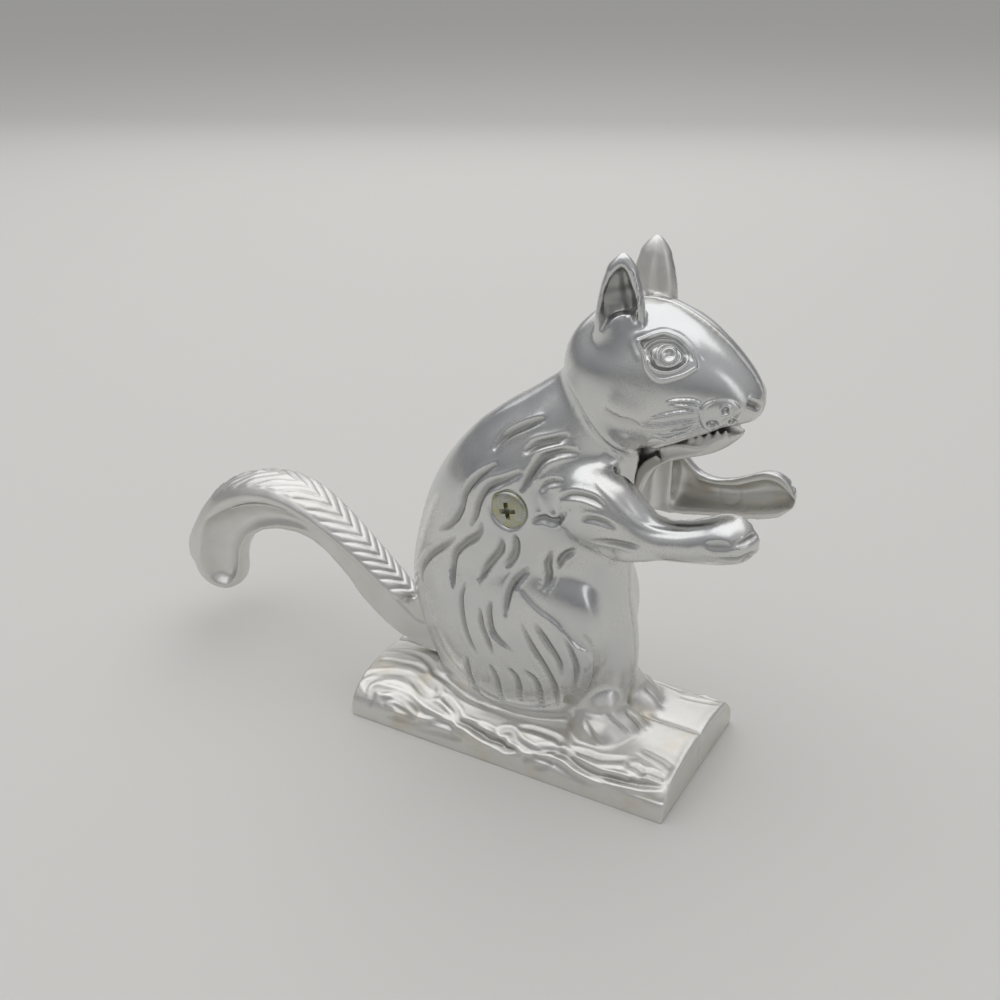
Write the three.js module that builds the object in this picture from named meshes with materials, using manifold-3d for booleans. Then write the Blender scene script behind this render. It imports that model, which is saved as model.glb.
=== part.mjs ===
// A lever nutcracker: a cast squirrel on a log, whose tail is the lever and whose lower jaw cracks the nut.
// Two hollow halves meet on the middle plane. Millimetres, +X to the nose, +Y to the left, +Z up.
import * as THREE from 'three';
import { mergeVertices } from 'three/addons/utils/BufferGeometryUtils.js';
import Module from 'manifold-3d';

const wasm = await Module();
wasm.setup();

// Castings
const wall = 2.6;
const partingGap = 0.3;
const seatGap = 0.3;
const cutOverrun = 40;
const farReach = 200;
const mergeTolerance = 1e-4;

// Log base
const baseLength = 115;
const baseWidth = 60;
const baseRidgeHeight = 14.4;
const baseSideHeight = 7.2;
const baseWall = 3;
const archSteps = 10;

// Body, measured from the middle of the base
const shoulderHeight = 100;
const bodyHalfDepth = 40;
const bodyHalfWidth = 25;
const bodySides = 30;
const bodyHollowSides = 20;

// Haunch
const haunchX = -3;
const haunchY = 12.4;
const haunchZ = 46.5;
const haunchHalfLength = 32;
const haunchBulge = 13;
const haunchHalfHeight = 34;
const haunchSides = 26;
const haunchHollowSides = 16;

// Head
const headBackX = 8;
const headBaseZ = 105;
const headLength = 59.5;
const headHeight = 50;
const headHalfWidth = 20;
const headSides = 24;
const headHollowSides = 16;
const headHollowSkippedRows = 2;

// Mouth
const mouthHalfWidth = 9.9;
const mouthCornerX = 46;

// Ear
const earX = 28.4;
const earY = 11.4;
const earBaseZ = 145;
const earHeight = 22;
const earHalfWidth = 7.9;
const earHalfThickness = 5.6;
const earSides = 12;

// Arm, open on its inner side
const armRootX = 12;
const armReach = 62.8;
const armAxisZ = 92;
const armHalfHeight = 12.5;
const armDepth = 10;
const armRimY = 15;
const armRimX = 30;
const armHollowX = 36;
const armWidestShare = 0.5;
const armSides = 16;
const armHollowSides = 12;

// Foot
const footX = 27.5;
const footY = 9.5;
const footZ = 13.5;
const footHalfLength = 10.5;
const footHalfWidth = 9.3;
const footHalfHeight = 7.5;
const ankleX = 26;
const ankleY = 7;
const ankleZ = 20.5;
const ankleRadius = 7.5;
const footSides = 16;
const toeHalfLength = 8.2;
const toeHalfWidth = 3.3;
const toeHalfHeight = 3.7;
const toeRise = 1.6;
const toeSides = 12;

// Tail lever
const pivotZ = 89;
const openAngle = THREE.MathUtils.degToRad(25);
const leverHalfThickness = 2.6;
const leverSlotClearance = 0.9;
const tailReach = 150.4;
const tailCrestHeight = 68;
const tailHalfWidth = 10;
const tailBandDepth = 10;
const tailLipHalfWidth = 4.6;
const tailLipDepth = 4;
const throatHalfWidth = 5;
const throatClearance = 0.8;
const jawHalfWidth = 9.2;
const jawSides = 16;
const toothHeight = 2;
const toothRadius = 1.1;
const toothSides = 5;
const toothCount = 5;
const toothSink = 0.55;

// Pivot
const hubRadius = 10;
const hubHalfWidth = 8;
const sleeveRadius = 4.5;
const leverWasherRadius = 8;
const leverWasherThickness = 1;
const bossRadius = 9.5;
const pivotScrewRadius = 3;
const pivotHeadRadius = 6;
const pivotHeadHeight = 3;
const pivotHeadSeatY = 20.6;
const pivotCrossWidth = 1.5;
const pivotCrossLength = 7;
const pivotCrossDepth = 1.8;
const nutAcrossFlats = 10;
const nutThickness = 5;
const washerRadius = 6.2;
const washerThickness = 1.2;
const nutPocketRadius = 7.2;
const nutPocketFloorY = 14;
const holeSides = 20;

// Assembly screws
const screwRadius = 2;
const screwHeadRadius = 3.6;
const screwHeadHeight = 2.6;
const screwCrossWidth = 1;
const screwCrossLength = 4.4;
const screwCrossDepth = 1.3;
const screwBossRadius = 5.8;
const screwPocketClearance = 0.5;
const headScrewX = 19;
const headScrewZ = 130;
const headScrewSeatY = 9;
const headScrewLength = 18;
const haunchScrewX = 9;
const haunchScrewZ = 33;
const haunchScrewSeatY = 14;
const haunchScrewLength = 26;

// Screws and nut: shares of the head's height and radius, and of the screw's radius
const headRimShare = 0.5;
const headDomeShare = 0.75;
const headDomeHeightShare = 0.88;
const screwTipChamferShare = 0.25;
const nutSides = 6;

// Shares of shoulderHeight, bodyHalfDepth (back, front, widest place) and bodyHalfWidth, one row a level
const torsoShares = [
  [0.07, -0.86, 0.74, -0.1, 0.6],
  [0.15, -0.95, 0.79, -0.1, 0.68],
  [0.22, -1.02, 0.83, -0.12, 0.76],
  [0.3, -1.09, 0.85, -0.15, 0.82],
  [0.38, -1.15, 0.85, -0.17, 0.86],
  [0.47, -1.185, 0.82, -0.2, 0.88],
  [0.56, -1.17, 0.775, -0.2, 0.89],
  [0.67, -1.105, 0.755, -0.17, 0.9],
  [0.78, -1.02, 0.78, -0.12, 0.93],
  [0.86, -0.93, 0.82, -0.07, 0.955],
  [0.93, -0.83, 0.845, 0, 0.935],
  [1, -0.7, 0.865, 0.07, 0.88],
  [1.07, -0.54, 0.9, 0.17, 0.79],
  [1.14, -0.32, 0.96, 0.3, 0.7],
  [1.2, -0.1, 1, 0.44, 0.63],
  [1.26, 0.1, 1, 0.54, 0.56],
  [1.32, 0.24, 0.92, 0.58, 0.48],
];

// Shares of headLength, then headHeight (top, bottom), then headHalfWidth
const headShares = [
  [0, 0.6, 0.46, 0.12],
  [0.02, 0.68, 0.38, 0.36],
  [0.07, 0.77, 0.27, 0.6],
  [0.15, 0.86, 0.15, 0.8],
  [0.28, 0.935, 0.07, 0.93],
  [0.4, 0.965, 0.05, 0.97],
  [0.5, 0.96, 0.07, 0.95],
  [0.6, 0.92, 0.126, 0.89],
  [0.7, 0.86, 0.196, 0.79],
  [0.8, 0.775, 0.256, 0.65],
  [0.88, 0.69, 0.3, 0.52],
  [0.94, 0.61, 0.335, 0.39],
  [0.98, 0.545, 0.372, 0.23],
  [0.995, 0.5, 0.42, 0.08],
];
const headWidestShare = 0.46;

// Under edge of the upper lip, shares of headLength and headHeight
const lipShares = [
  [0.45, 0.15],
  [0.63, 0.24],
  [0.73, 0.286],
  [0.87, 0.338],
  [0.985, 0.364],
  [1.25, 0.364],
  [1.25, 0.03],
  [0.45, 0.03],
];
const biteRoofShares = [0.42, 0.55];

// Ends of the slots for the lever: shares of headLength in the chest, of bodyHalfDepth in the back
const chestSlotShares = [0.27, 0.63];
const backSlotShares = [-1.4, -0.5];

// Shares of earHeight, earHalfWidth and earHalfThickness
const earShares = [
  [-0.1, 1, 1],
  [0.2, 0.95, 0.98],
  [0.4, 0.89, 0.9],
  [0.6, 0.76, 0.76],
  [0.8, 0.53, 0.55],
  [0.93, 0.27, 0.34],
  [0.99, 0.1, 0.12],
];
const earHollowPlaceShares = [0.16, 0.8, 0.46];
const earHollowSizeShares = [0.66, 0.86, 0.42];

// Shares of armReach, then armHalfHeight (top, bottom), then armDepth
const armShares = [
  [0, 0.72, -0.32, 0.45],
  [0.1, 1.12, -0.8, 0.86],
  [0.2, 1.2, -0.94, 1],
  [0.3, 1.15, -0.97, 1.02],
  [0.38, 1, -0.94, 1],
  [0.45, 0.6, -0.9, 0.94],
  [0.52, 0.3, -0.83, 0.88],
  [0.6, 0.25, -0.75, 0.84],
  [0.68, 0.35, -0.69, 0.84],
  [0.76, 0.52, -0.62, 0.88],
  [0.83, 0.72, -0.55, 0.92],
  [0.89, 0.75, -0.46, 0.9],
  [0.945, 0.62, -0.34, 0.8],
  [0.98, 0.42, -0.16, 0.55],
  [0.996, 0.24, 0.02, 0.25],
];

// Toes: shares of footHalfLength ahead of, and footHalfWidth beside, the foot's centre
const toeShares = [
  [0.1, 0.58],
  [0.44, 0.05],
  [0.58, -0.5],
];

// Midrib of the tail: shares of tailReach and tailCrestHeight, then of tailHalfWidth and tailBandDepth
const tailShares = [
  [0.322, 0.495, 0.28, 0.3],
  [0.332, 0.515, 0.62, 0.4],
  [0.356, 0.553, 0.82, 0.45],
  [0.411, 0.65, 0.86, 0.48],
  [0.468, 0.75, 0.88, 0.5],
  [0.525, 0.838, 0.92, 0.54],
  [0.576, 0.915, 0.96, 0.66],
  [0.631, 0.975, 1, 0.8],
  [0.698, 1, 1, 0.9],
  [0.765, 0.985, 1, 0.96],
  [0.832, 0.93, 1, 1],
  [0.893, 0.838, 0.98, 1],
  [0.943, 0.713, 0.96, 1],
  [0.98, 0.581, 0.93, 0.98],
  [1, 0.449, 0.9, 0.92],
  [0.999, 0.353, 0.84, 0.8],
  [0.98, 0.28, 0.76, 0.66],
  [0.943, 0.239, 0.66, 0.56],
  [0.903, 0.245, 0.54, 0.5],
  [0.872, 0.288, 0.4, 0.44],
];

// Half of the band's section: shares of tailHalfWidth and tailBandDepth, from the midrib to below it
const bandSectionShares = [
  [0, 0],
  [0.42, 0.07],
  [0.8, 0.26],
  [1, 0.58],
  [0.94, 0.96],
  [0.4, 0.9],
  [0, 0.9],
];

// Inner edge of the tail, from the tip to the fork with the web: shares of tailReach and tailCrestHeight
const tailInnerShares = [
  [0.846, 0.345],
  [0.842, 0.42],
  [0.832, 0.5],
  [0.806, 0.582],
  [0.765, 0.643],
  [0.716, 0.678],
  [0.662, 0.686],
  [0.616, 0.669],
  [0.576, 0.625],
];

// The lip along that edge: the same shares, then of tailLipHalfWidth and tailLipDepth
const tailLipShares = [
  [0.862, 0.29, 0.6, 0.8],
  [0.846, 0.345, 0.85, 1],
  [0.842, 0.42, 1, 1],
  [0.832, 0.5, 1, 1],
  [0.806, 0.582, 0.95, 1],
  [0.765, 0.643, 0.85, 0.9],
  [0.716, 0.678, 0.72, 0.8],
  [0.662, 0.686, 0.6, 0.7],
];
const lipSectionShares = [
  [0, 0],
  [0.7, 0.14],
  [1, 0.5],
  [0.7, 0.88],
  [0, 1],
];

// Lower edge of the web to the slot in the back, in the same shares, then inside the body up to the hub
const webLowerShares = [
  [0.543, 0.566],
  [0.521, 0.522],
  [0.477, 0.427],
  [0.428, 0.341],
  [0.381, 0.274],
  [0.322, 0.235],
  [0.262, 0.217],
  [0.22, 0.26],
  [0.175, 0.4],
  [0.13, 0.6],
  [0.095, 0.82],
  [0.06, 1.15],
];

// Upper edge of the web inside the body, from the hub down to the end of the leaf
const webUpperShares = [
  [0.06, 1.42],
  [0.1, 1.3],
  [0.17, 1.07],
  [0.235, 0.83],
  [0.285, 0.63],
  [0.32, 0.51],
];

// Neck of the lever ahead of the hub: shares of headLength ahead of the pivot and of pivotZ
const neckUpperShares = [
  [0.78, 1.272],
  [0.62, 1.255],
  [0.45, 1.222],
  [0.28, 1.175],
  [0.13, 1.122],
];
const neckLowerShares = [
  [0.13, 0.905],
  [0.3, 0.9],
  [0.44, 0.935],
  [0.52, 0.975],
  [0.57, 1.07],
  [0.62, 1.155],
  [0.72, 1.2],
  [0.78, 1.215],
];
const throatFrontShares = [
  [0.545, 0.975],
  [0.555, 1.03],
  [0.575, 1.1],
  [0.615, 1.158],
  [0.7, 1.2],
];
const throatDepthShare = 0.055;

// Lower jaw: shares of headLength ahead of the pivot, of pivotZ (top, bottom) and of jawHalfWidth
const jawShares = [
  [0.68, 1.262, 1.188, 0.9],
  [0.74, 1.278, 1.205, 1],
  [0.8, 1.292, 1.222, 1.02],
  [0.87, 1.308, 1.238, 0.98],
  [0.93, 1.322, 1.256, 0.86],
  [0.985, 1.332, 1.28, 0.64],
  [1.025, 1.337, 1.305, 0.4],
  [1.047, 1.338, 1.325, 0.16],
];
const jawWidestShare = 0.7;
const firstToothShare = 0.83;
const toothPitchShare = 0.0387;
const toothRowShare = 0.74;
const toothRowTaperShare = 0.07;

// Materials
const polished = { roughness: 0.18, metalness: 0.9 };
const tumbled = { roughness: 0.42, metalness: 0.9 };
const bodyColour = 0x9b9ea1;
const leverColour = 0xc9c7c0;
const steelColour = 0xb9bcae;
const sleeveColour = 0x8f9296;

// A closed solid from any closed geometry, turned so that its faces point out
function solid(geometry) {
  const bare = new THREE.BufferGeometry();
  bare.setAttribute('position', geometry.attributes.position);
  bare.setIndex(geometry.index);
  const merged = mergeVertices(bare, mergeTolerance);
  const triVerts = Uint32Array.from(merged.index.array);
  const vertProperties = Float32Array.from(merged.attributes.position.array);
  const corner = [new THREE.Vector3(), new THREE.Vector3(), new THREE.Vector3()];
  let volume = 0;
  for (let i = 0; i < triVerts.length; i += 3) {
    corner.forEach((point, k) => point.fromArray(vertProperties, 3 * triVerts[i + k]));
    volume += corner[0].dot(corner[1].cross(corner[2]));
  }
  if (volume < 0) {
    for (let i = 0; i < triVerts.length; i += 3) {
      [triVerts[i + 1], triVerts[i + 2]] = [triVerts[i + 2], triVerts[i + 1]];
    }
  }
  return new wasm.Manifold(new wasm.Mesh({ numProp: 3, vertProperties, triVerts }));
}

function geometryOf(manifold) {
  const mesh = manifold.getMesh();
  const geometry = new THREE.BufferGeometry();
  geometry.setAttribute('position', new THREE.BufferAttribute(Float32Array.from(mesh.vertProperties), 3));
  geometry.setIndex(new THREE.BufferAttribute(Uint32Array.from(mesh.triVerts), 1));
  geometry.computeVertexNormals();
  return geometry;
}

// A skin over rings that have like numbers of points, closed by a fan at each end
function loft(rings) {
  const points = rings.flat();
  const count = rings[0].length;
  const index = [];
  for (let ring = 0; ring < rings.length - 1; ring++) {
    for (let i = 0; i < count; i++) {
      const a = ring * count + i;
      const b = ring * count + (i + 1) % count;
      index.push(a, b, a + count, b, b + count, a + count);
    }
  }
  const ends = [[0, true], [rings.length - 1, false]];
  for (const [ring, first] of ends) {
    const middle = rings[ring].reduce((sum, point) => sum.add(point), new THREE.Vector3());
    points.push(middle.divideScalar(count));
    for (let i = 0; i < count; i++) {
      const a = ring * count + i;
      const b = ring * count + (i + 1) % count;
      index.push(...(first ? [b, a, points.length - 1] : [a, b, points.length - 1]));
    }
  }
  const geometry = new THREE.BufferGeometry().setFromPoints(points);
  geometry.setIndex(index);
  return solid(geometry);
}

// A level ring that is widest at one place along the body
function levelRing(z, back, front, widest, halfWidth, sides) {
  return Array.from({ length: sides }, (_, i) => {
    const angle = 2 * Math.PI * i / sides;
    const reach = Math.cos(angle) > 0 ? front - widest : widest - back;
    return new THREE.Vector3(widest + reach * Math.cos(angle), halfWidth * Math.sin(angle), z);
  });
}

// An upright ring across the body, widest at a share of its height
function uprightRing(x, y, top, bottom, halfWidth, widestShare, sides) {
  const widest = THREE.MathUtils.lerp(bottom, top, widestShare);
  return Array.from({ length: sides }, (_, i) => {
    const angle = 2 * Math.PI * i / sides;
    const reach = Math.sin(angle) > 0 ? top - widest : widest - bottom;
    return new THREE.Vector3(x, y + halfWidth * Math.cos(angle), widest + reach * Math.sin(angle));
  });
}

function ellipsoid(x, y, z, halfLength, halfWidth, halfHeight, sides) {
  const geometry = new THREE.SphereGeometry(1, sides, sides / 2);
  geometry.scale(halfLength, halfWidth, halfHeight);
  geometry.translate(x, y, z);
  return solid(geometry);
}

// A cylinder along Y between two places
function rod(radius, x, z, fromY, toY, sides = holeSides) {
  const geometry = new THREE.CylinderGeometry(radius, radius, Math.abs(toY - fromY), sides);
  geometry.translate(x, (fromY + toY) / 2, z);
  return solid(geometry);
}

// A plate from an outline in X and Z, as far as halfThickness on each side of the middle plane
function plate(outline, halfThickness) {
  const shape = new THREE.Shape(outline.map(([x, z]) => new THREE.Vector2(x, z)));
  const geometry = new THREE.ExtrudeGeometry(shape, { depth: 2 * halfThickness, bevelEnabled: false });
  geometry.rotateX(Math.PI / 2);
  geometry.translate(0, halfThickness, 0);
  return solid(geometry);
}

function box(x0, x1, y0, y1, z0, z1) {
  const geometry = new THREE.BoxGeometry(x1 - x0, y1 - y0, z1 - z0);
  geometry.translate((x0 + x1) / 2, (y0 + y1) / 2, (z0 + z1) / 2);
  return solid(geometry);
}

const headX = (share) => headBackX + headLength * share;
const headZ = (share) => headBaseZ + headHeight * share;
const tailPoint = ([back, up]) => [-tailReach * back, tailCrestHeight * up];
const neckPoint = ([ahead, up]) => [headLength * ahead, pivotZ * up];

// A place on the lever once its tail is raised as far as it goes
function raised([x, z]) {
  const up = z - pivotZ;
  const cos = Math.cos(openAngle);
  const sin = Math.sin(openAngle);
  return [x * cos + up * sin, pivotZ - x * sin + up * cos];
}

// Height at x on a line of points that runs back and down
function heightAt(line, x) {
  const i = line.findIndex(([pointX]) => pointX < x);
  const [fromX, fromZ] = line[i - 1];
  const [toX, toZ] = line[i];
  return THREE.MathUtils.mapLinear(x, fromX, toX, fromZ, toZ);
}

// Log: an arched section along X, drawn in by inset all round
function archHeight(y) {
  const share = 2 * y / baseWidth;
  return baseSideHeight + (baseRidgeHeight - baseSideHeight) * (1 - share * share);
}

function logSolid(inset, bottom) {
  const halfWidth = baseWidth / 2 - inset;
  const outline = [[-halfWidth, bottom], [halfWidth, bottom]];
  for (let i = 0; i <= archSteps; i++) {
    const y = halfWidth * (1 - 2 * i / archSteps);
    outline.push([y, archHeight(y) - inset]);
  }
  const shape = new THREE.Shape(outline.map(([y, z]) => new THREE.Vector2(y, z)));
  const length = baseLength - 2 * inset;
  const geometry = new THREE.ExtrudeGeometry(shape, { depth: length, bevelEnabled: false });
  geometry.rotateX(Math.PI / 2);
  geometry.rotateZ(Math.PI / 2);
  geometry.translate(-length / 2, 0, 0);
  return solid(geometry);
}

function torsoSolid(inset) {
  const sides = inset ? bodyHollowSides : bodySides;
  return loft(torsoShares.map(([level, back, front, widest, width]) => levelRing(
    shoulderHeight * level,
    bodyHalfDepth * back + inset,
    bodyHalfDepth * front - inset,
    bodyHalfDepth * widest,
    bodyHalfWidth * width - inset,
    sides,
  )));
}

function headSolid(inset) {
  const rows = inset ? headShares.slice(headHollowSkippedRows, -headHollowSkippedRows) : headShares;
  return loft(rows.map(([along, top, bottom, width]) => uprightRing(
    headX(along),
    0,
    headZ(top) - inset,
    headZ(bottom) + inset,
    headHalfWidth * width - inset,
    headWidestShare,
    inset ? headHollowSides : headSides,
  )));
}

function haunchSolid(inset) {
  return ellipsoid(
    haunchX, -haunchY, haunchZ,
    haunchHalfLength - inset, haunchBulge - inset, haunchHalfHeight - inset,
    inset ? haunchHollowSides : haunchSides,
  );
}

function armSolid(inset) {
  return loft(armShares.map(([along, top, bottom, depth]) => uprightRing(
    armRootX + armReach * along,
    -armRimY,
    Math.max(armAxisZ + armHalfHeight * top - inset, armAxisZ + inset * along),
    Math.min(armAxisZ + armHalfHeight * bottom + inset, armAxisZ),
    Math.max(armDepth * depth - inset, inset / 2),
    armWidestShare,
    inset ? armHollowSides : armSides,
  )));
}

function earSolid() {
  const ear = loft(earShares.map(([up, width, thickness]) => {
    const z = earBaseZ + earHeight * up;
    return Array.from({ length: earSides }, (_, i) => {
      const angle = 2 * Math.PI * i / earSides;
      const x = earX + earHalfWidth * width * Math.cos(angle);
      return new THREE.Vector3(x, -earY + earHalfThickness * thickness * Math.sin(angle), z);
    });
  }));
  const [hollowX, hollowY, hollowZ] = earHollowPlaceShares;
  const [hollowWidth, hollowDepth, hollowHeight] = earHollowSizeShares;
  return ear.subtract(ellipsoid(
    earX + earHalfWidth * hollowX, -earY - earHalfThickness * hollowY, earBaseZ + earHeight * hollowZ,
    earHalfWidth * hollowWidth, earHalfThickness * hollowDepth, earHeight * hollowHeight,
    earSides,
  ));
}

function footSolid() {
  let foot = ellipsoid(footX, -footY, footZ, footHalfLength, footHalfWidth, footHalfHeight, footSides)
    .add(ellipsoid(ankleX, -ankleY, ankleZ, ankleRadius, ankleRadius, ankleRadius, footSides));
  for (const [ahead, aside] of toeShares) {
    const x = footX + footHalfLength * ahead;
    const y = -footY - footHalfWidth * aside;
    const z = archHeight(y) + toeRise;
    foot = foot.add(ellipsoid(x, y, z, toeHalfLength, toeHalfWidth, toeHalfHeight, toeSides));
  }
  return foot;
}

// Edges of the lever in X and Z
const neckUpper = neckUpperShares.map(neckPoint);
const neckLower = neckLowerShares.map(neckPoint);
const throatFront = throatFrontShares.map(neckPoint);
const webUpper = webUpperShares.map(tailPoint);
const webLower = webLowerShares.map(tailPoint);
const tailInner = tailInnerShares.map(tailPoint);

// Where the lever passes: the bite, the slot in the chest and the slot in the back
function leverCuts() {
  const mouth = plate(lipShares.map(([along, up]) => [headX(along), headZ(up)]), mouthHalfWidth);
  const [chestFromX, chestToX] = chestSlotShares.map((share) => headLength * share);
  const chestHalf = throatHalfWidth + throatClearance;
  const chestLow = raised(throatFront[0])[1] - throatClearance - leverSlotClearance;
  const chestHigh = headZ(lipShares[0][1]) + wall;
  const chest = box(chestFromX, chestToX, -chestHalf, chestHalf, chestLow, chestHigh);
  const [backFromX, backToX] = backSlotShares.map((share) => bodyHalfDepth * share);
  const backHalf = leverHalfThickness + leverSlotClearance;
  const backHigh = heightAt(webUpper.map(raised), wall - bodyHalfDepth) + leverSlotClearance;
  const back = box(backFromX, backToX, -backHalf, backHalf, baseRidgeHeight, backHigh);
  return mouth.add(chest).add(back);
}

// The hollow of one half, open on the middle plane and underneath
function hollow() {
  const biteRoof = plate([
    [mouthCornerX, headZ(biteRoofShares[0])],
    [headX(1) + wall, headZ(biteRoofShares[1])],
    [headX(1) + wall, headZ(1) + wall],
    [mouthCornerX, headZ(1) + wall],
  ], headHalfWidth);
  const armHollow = armSolid(wall).intersect(
    box(armHollowX, farReach, -farReach, 0, 0, farReach),
  );
  return logSolid(baseWall, -cutOverrun)
    .add(torsoSolid(wall))
    .add(haunchSolid(wall))
    .add(headSolid(wall).subtract(biteRoof))
    .add(armHollow);
}

// The full outer form of one half
function outerForm() {
  const armOuter = armSolid(0).subtract(
    box(armRimX, farReach, -armRimY, armRimY, 0, farReach),
  );
  return logSolid(0, 0)
    .add(torsoSolid(0))
    .add(haunchSolid(0))
    .add(headSolid(0))
    .add(armOuter)
    .add(earSolid())
    .add(footSolid());
}

// Places that the halves, the lever and the fasteners share
const bossFaceY = hubHalfWidth + leverWasherThickness + 2 * seatGap;
const pivotHoleRadius = pivotScrewRadius + seatGap;
const hubBoreRadius = sleeveRadius + seatGap;
const screwHoleRadius = screwRadius + seatGap;
const assemblyScrews = [
  {
    name: 'assembly_screw_head',
    x: headScrewX,
    z: headScrewZ,
    seatY: headScrewSeatY,
    length: headScrewLength,
  },
  {
    name: 'assembly_screw_haunch',
    x: haunchScrewX,
    z: haunchScrewZ,
    seatY: haunchScrewSeatY,
    length: haunchScrewLength,
  },
];

// One half before its holes are cut
function plainHalf() {
  const form = outerForm();
  let half = form.subtract(hollow()).subtract(leverCuts());
  half = half.add(form.intersect(rod(bossRadius, 0, pivotZ, -bossFaceY, -cutOverrun)));
  for (const { x, z } of assemblyScrews) {
    half = half.add(form.intersect(rod(screwBossRadius, x, z, 0, -cutOverrun)));
  }
  return half.intersect(box(-farReach, farReach, -farReach, -partingGap / 2, 0, farReach));
}

function mirrored(manifold) {
  const geometry = geometryOf(manifold);
  geometry.scale(1, -1, 1);
  return solid(geometry);
}

function rightBodyHalf(plain) {
  let half = plain
    .subtract(rod(pivotHoleRadius, 0, pivotZ, 0, -cutOverrun))
    .subtract(rod(pivotHeadRadius + seatGap, 0, pivotZ, -pivotHeadSeatY, -cutOverrun));
  for (const { x, z, seatY, length } of assemblyScrews) {
    half = half.subtract(rod(screwHoleRadius, x, z, 0, seatY - length - seatGap));
  }
  return half;
}

function leftBodyHalf(plain) {
  let half = mirrored(plain)
    .subtract(rod(pivotHoleRadius, 0, pivotZ, 0, cutOverrun))
    .subtract(rod(nutPocketRadius, 0, pivotZ, nutPocketFloorY, cutOverrun));
  for (const { x, z, seatY } of assemblyScrews) {
    half = half
      .subtract(rod(screwHoleRadius, x, z, 0, cutOverrun))
      .subtract(rod(screwHeadRadius + screwPocketClearance, x, z, seatY, cutOverrun));
  }
  return half;
}

// For each row of the tail, the place so far below its line in X and Z, at right angles to the line
function below(rows, depth) {
  const path = rows.map(tailPoint);
  return rows.map(([, , , depthShare], i) => {
    const [beforeX, beforeZ] = path[Math.max(i - 1, 0)];
    const [afterX, afterZ] = path[Math.min(i + 1, path.length - 1)];
    const down = depth * depthShare / Math.hypot(afterX - beforeX, afterZ - beforeZ);
    return [path[i][0] - down * (afterZ - beforeZ), path[i][1] - down * (beforeX - afterX)];
  });
}

// A section swept along a path in the middle plane, its top on the path and its depth towards the inside
function sweep(rows, halfSectionShares, halfWidth, depth) {
  const right = halfSectionShares.slice(1, -1).reverse().map(([across, down]) => [-across, down]);
  const lines = [...halfSectionShares, ...right].map(([across, down]) => (
    below(rows, depth * down).map(([x, z], i) => new THREE.Vector3(x, halfWidth * rows[i][2] * across, z))
  ));
  return loft(rows.map((row, i) => lines.map((line) => line[i])));
}

function jawSolid() {
  let jaw = loft(jawShares.map(([ahead, top, bottom, width]) => uprightRing(
    headLength * ahead, 0, pivotZ * top, pivotZ * bottom, jawHalfWidth * width, jawWidestShare, jawSides,
  )));
  const topLine = jawShares.map(([ahead, top]) => [-headLength * ahead, pivotZ * top]);
  for (let i = 0; i < toothCount; i++) {
    const x = headLength * (firstToothShare + toothPitchShare * i);
    for (const side of [-1, 1]) {
      const tooth = new THREE.ConeGeometry(toothRadius, toothHeight, toothSides);
      tooth.rotateX(Math.PI / 2);
      const row = jawHalfWidth * toothRowShare * (1 - i * toothRowTaperShare);
      tooth.translate(x, side * row, heightAt(topLine, -x) + toothHeight / 2 - toothSink);
      jaw = jaw.add(solid(tooth));
    }
  }
  return jaw;
}

function tailLever() {
  const bandMiddle = below(tailShares, tailBandDepth / 2);
  const outline = [...neckUpper, ...webUpper, ...bandMiddle, ...tailInner, ...webLower, ...neckLower];
  const throatDepth = headLength * throatDepthShare;
  const throatBack = throatFront.map(([x, z]) => [x - throatDepth, z + throatDepth / 2]).reverse();
  return plate(outline, leverHalfThickness)
    .add(sweep(tailShares, bandSectionShares, tailHalfWidth, tailBandDepth))
    .add(sweep(tailLipShares, lipSectionShares, tailLipHalfWidth, tailLipDepth))
    .add(plate([...throatFront, ...throatBack], throatHalfWidth))
    .add(jawSolid())
    .add(rod(hubRadius, 0, pivotZ, -hubHalfWidth, hubHalfWidth))
    .subtract(rod(hubBoreRadius, 0, pivotZ, -cutOverrun, cutOverrun));
}

// A ring or tube along Y
function collar(outerRadius, innerRadius, fromY, toY, sides = holeSides) {
  return rod(outerRadius, 0, pivotZ, fromY, toY, sides)
    .subtract(rod(innerRadius, 0, pivotZ, -cutOverrun, cutOverrun));
}

// A cross-recess screw along Y whose head, towards side, seats at seatY
function crossScrew({ x, z, seatY, side, radius, length, headRadius, headHeight, cross }) {
  const chamfer = radius * screwTipChamferShare;
  const profile = [
    [0, -length],
    [radius - chamfer, -length],
    [radius, chamfer - length],
    [radius, 0],
    [headRadius, 0],
    [headRadius, headHeight * headRimShare],
    [headRadius * headDomeShare, headHeight * headDomeHeightShare],
    [0, headHeight],
  ];
  const points = profile.map(([r, y]) => new THREE.Vector2(r, y));
  let screw = solid(new THREE.LatheGeometry(points, holeSides));
  const { width, reach, depth } = cross;
  const low = headHeight - depth;
  screw = screw
    .subtract(box(-reach / 2, reach / 2, low, cutOverrun, -width / 2, width / 2))
    .subtract(box(-width / 2, width / 2, low, cutOverrun, -reach / 2, reach / 2));
  const geometry = geometryOf(screw);
  geometry.scale(1, side, 1);
  geometry.translate(x, side * seatY, z);
  return solid(geometry);
}

function hexNut(fromY) {
  const cornerRadius = nutAcrossFlats / 2 / Math.cos(Math.PI / nutSides);
  return collar(cornerRadius, pivotHoleRadius, fromY, fromY + nutThickness, nutSides);
}

// Assembly, with the middle of its outer box over the origin
const assembly = new THREE.Group();
assembly.name = 'lever_nutcracker';
assembly.position.x = (tailReach - armRootX - armReach) / 2;

function addPiece(name, manifold, colour, finish) {
  const material = new THREE.MeshStandardMaterial({ color: colour, ...finish });
  const mesh = new THREE.Mesh(geometryOf(manifold), material);
  mesh.name = name;
  assembly.add(mesh);
}

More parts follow.
